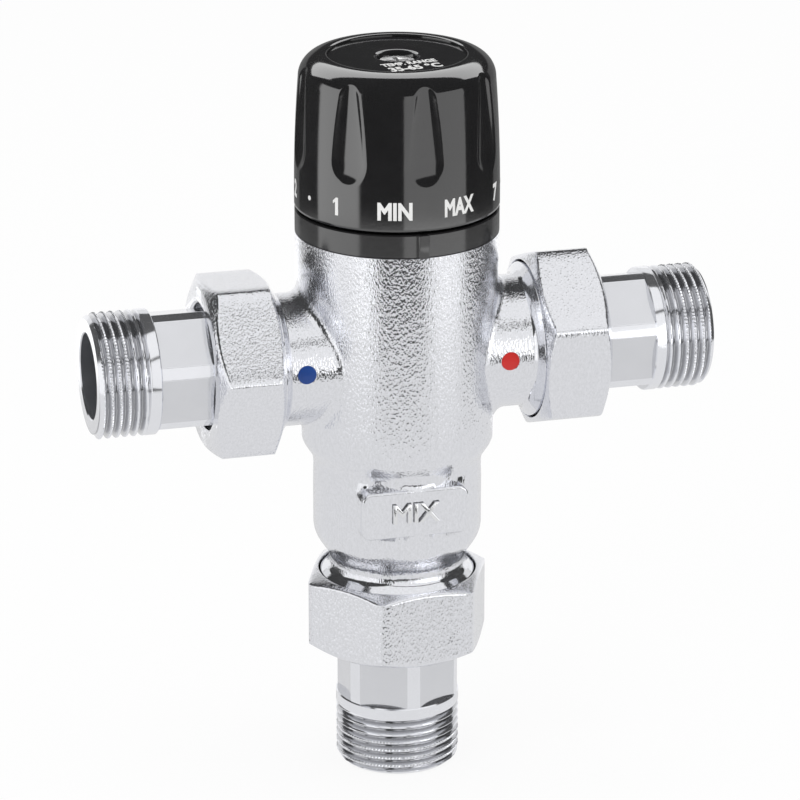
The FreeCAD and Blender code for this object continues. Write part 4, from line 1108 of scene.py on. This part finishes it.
tree = bpy.data.node_groups.new("scale_dots", "GeometryNodeTree")
tree.interface.new_socket("Geometry", in_out="OUTPUT", socket_type="NodeSocketGeometry")
dot_keys = {}
for title in DOT_SIZES:
    kind = "NodeSocketInt" if title == "Count" else "NodeSocketFloat"
    dot_keys[title] = tree.interface.new_socket(title, in_out="INPUT", socket_type=kind).identifier
given = tree.nodes.new("NodeGroupInput")
count, around, height, first, step, radius, depth = (Field(tree, given.outputs[title]) for title in DOT_SIZES)
row = add_node(tree, "GeometryNodeMeshLine", Count=count)
bearing = first + Field(tree, add_node(tree, "GeometryNodeInputIndex").outputs[0]) * step
spot = add_node(tree, "ShaderNodeCombineXYZ", X=around * bearing.math("SINE"),
                Y=around * bearing.math("COSINE") * -1.0, Z=height)
ring = add_node(tree, "GeometryNodeSetPosition", Geometry=row.outputs[0], Position=spot.outputs[0])
disc = add_node(tree, "GeometryNodeMeshCylinder", Vertices=DOT_POINTS, Radius=radius, Depth=depth)
facing = add_node(tree, "ShaderNodeCombineXYZ", X=math.pi / 2, Y=0.0, Z=bearing)
stamped = add_node(tree, "GeometryNodeInstanceOnPoints", Points=ring.outputs[0], Instance=disc.outputs[0],
                   Rotation=facing.outputs[0])
real = add_node(tree, "GeometryNodeRealizeInstances", Geometry=stamped.outputs[0])
coat = add_node(tree, "GeometryNodeSetMaterial", Geometry=real.outputs[0], Material=print_white)
feed(tree, tree.nodes.new("NodeGroupOutput").inputs[0], coat.outputs[0])

dots = put("scale_dots", bpy.data.meshes.new("scale_dots"))
modifier = dots.modifiers.new("scale_dots", "NODES")
modifier.node_group = tree
for title, value in DOT_SIZES.items():
    modifier[dot_keys[title]] = value
set_in_place(dots, print_white)
finish_piece(dots, "knob_set", "black_knob")

# %% [markdown]
# ## Top of the knob
# The recess on top is printed too, with the range of the scale in degrees, and the screw that holds the knob
# sits in the well at its centre. The screw's solid already has its cross recess.

# %% Top print and screw
# Each line: text, width, height and how far it lies in front of the axis.
TOP_LINES = [
    ("TEMP. RANGE", 12.0 * MM, 2.2 * MM, 6.3 * MM),
    ("35-65 °C", 11.4 * MM, 3.2 * MM, 9.8 * MM),
]
TOP_TURN = Matrix.Rotation(math.radians(7.6), 4, "Z")
top_words = []
for text, width, height, forward in TOP_LINES:
    mesh = letters("top_line", text, width, height, PRINT_THICK, PRINT_WEIGHT)
    mesh.transform(TOP_TURN @ Matrix.Translation((0, -forward, RECESS_FLOOR + PRINT_LIFT)))
    top_words.append(mesh)
range_print = joined("range_print", top_words, print_white)
finish_piece(range_print, "knob_set", "black_knob")

screw = softened("knob_screw", "cross_screw", steel, 3, 50)
finish_piece(screw, "knob_set", "steel", "knob_screw")

# %% [markdown]
# Black plastic and chrome want different light, so each soft panel is linked to some pieces only, as a
# photographer flags a lamp. One hangs over the knob and behind it, and draws the bright line along the front
# of its rim. One on either side draws a grey band down the knob. The others stand at the sides, in front and
# behind, one of them for the tails alone. They leave the dark gaps in which blasted chrome shows its grain.

# %% Linked panels
PANEL_DISTANCE = 1.5


def linked_panel(name, bearing, height, size, level, pieces):
    """Rectangle at a bearing from the front and a height, in degrees, which lights only some pieces."""
    across, rise = math.radians(bearing), math.radians(height)
    away = Vector((math.sin(across) * math.cos(rise), -math.cos(across) * math.cos(rise), math.sin(rise)))
    holder = area_lamp(name, PANEL_DISTANCE * away, size, level * math.pi * size[0] * size[1])
    lit = bpy.data.collections.new(f"{name}_pieces")
    for piece in pieces:
        lit.objects.link(piece)
    holder.light_linking.receiver_collection = lit
    print(name, "lights", [piece.name for piece in pieces])


chromed = [body, word, *nuts, *tails]
# Each panel: bearing and height in degrees, size in metres, brightness, and the pieces that it lights.
PANELS = {
    "rim_panel": (165, 52, (4.2, 1.24), 2.4, [knob, screw]),
    "knob_left_panel": (-85.5, -3, (1.56, 1.14), 0.45, [knob, index_ring]),
    "knob_right_panel": (30, -3, (2.26, 1.14), 0.75, [knob, index_ring]),
    "right_wall_panel": (43, -1, (1.34, 0.95), 0.85, chromed),
    "left_wall_panel": (-48.5, -1, (0.50, 0.95), 0.96, chromed),
    "low_front_panel": (18, 16, (2.6, 1.335), 0.85, chromed),
    "tail_front_panel": (18, -11, (2.6, 0.157), 0.85, tails),
    "high_front_panel": (18, 68.5, (2.6, 1.304), 0.85, chromed),
    "high_back_panel": (165, 22.5, (3.0, 0.556), 0.75, chromed),
    "back_panel": (165, -5, (3.0, 0.9), 0.7, chromed),
}
for name, settings in PANELS.items():
    linked_panel(name, *settings)

# %% [markdown]
# ## Coloured plugs
# A blue plug and a red one say which inlet is cold and which is hot. Each is pressed into the forging until
# its slightly domed face is flush, so a turned outline with a rounded rim is all it needs.

# %% Plugs
PLUG_RADIUS = 2.0 * MM
PLUG_RIM = 0.3 * MM
PLUG_RIM_STEPS = 5
PLUG_DOME = 0.12 * MM
PLUG_MIDDLE = 0.02 * MM
PLUG_POINTS = 48
for node, finish, slot_name in (("cold_mark", plug_blue, "blue_plug"), ("hot_mark", plug_red, "red_plug")):
    low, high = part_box(node)
    length = high.y - low.y
    outline = [(PLUG_MIDDLE, 0.0), (PLUG_RADIUS, 0.0), (PLUG_RADIUS, length - PLUG_RIM)]
    outline += arc((PLUG_RADIUS - PLUG_RIM, length - PLUG_RIM), PLUG_RIM, 15, 90, PLUG_RIM_STEPS)
    outline += [(PLUG_RADIUS * 0.5, length + PLUG_DOME * 0.7), (PLUG_MIDDLE, length + PLUG_DOME)]
    plug = lathe(f"{slot_name}_dome", outline, PLUG_POINTS)
    placed = Matrix.Translation(((low.x + high.x) / 2, high.y, (low.z + high.z) / 2)) @ facing_front
    set_in_place(plug, finish, placed)
    plug.visible_glossy = False
    finish_piece(plug, "housing", slot_name, node)

# %% [markdown]
# ## What is inside
# The cartridge, the springs and the seals keep their solids and get their own finishes, so a cut-away view
# or a taken-off knob shows brass, steel and rubber.

# %% Inner finishes
INNER = {
    brass: ["bonnet", "spindle", "regulating_nut", "overtravel_cup", "wax_element", "seat_ring"],
    steel: ["spindle_clip", "cup_clip", "element_pin", "spring_plate"],
    wire: ["overtravel_spring", "return_spring"],
    polymer: ["shutter"],
    rubber: ["bonnet_seal", "spindle_seal", "shutter_seal", "cold_gasket", "hot_gasket", "mixed_gasket"],
}
for material, nodes in INNER.items():
    for node in nodes:
        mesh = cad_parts[node].data
        mesh.materials.clear()
        mesh.materials.append(material)
print("inner finishes on", sum(len(nodes) for nodes in INNER.values()), "solids")
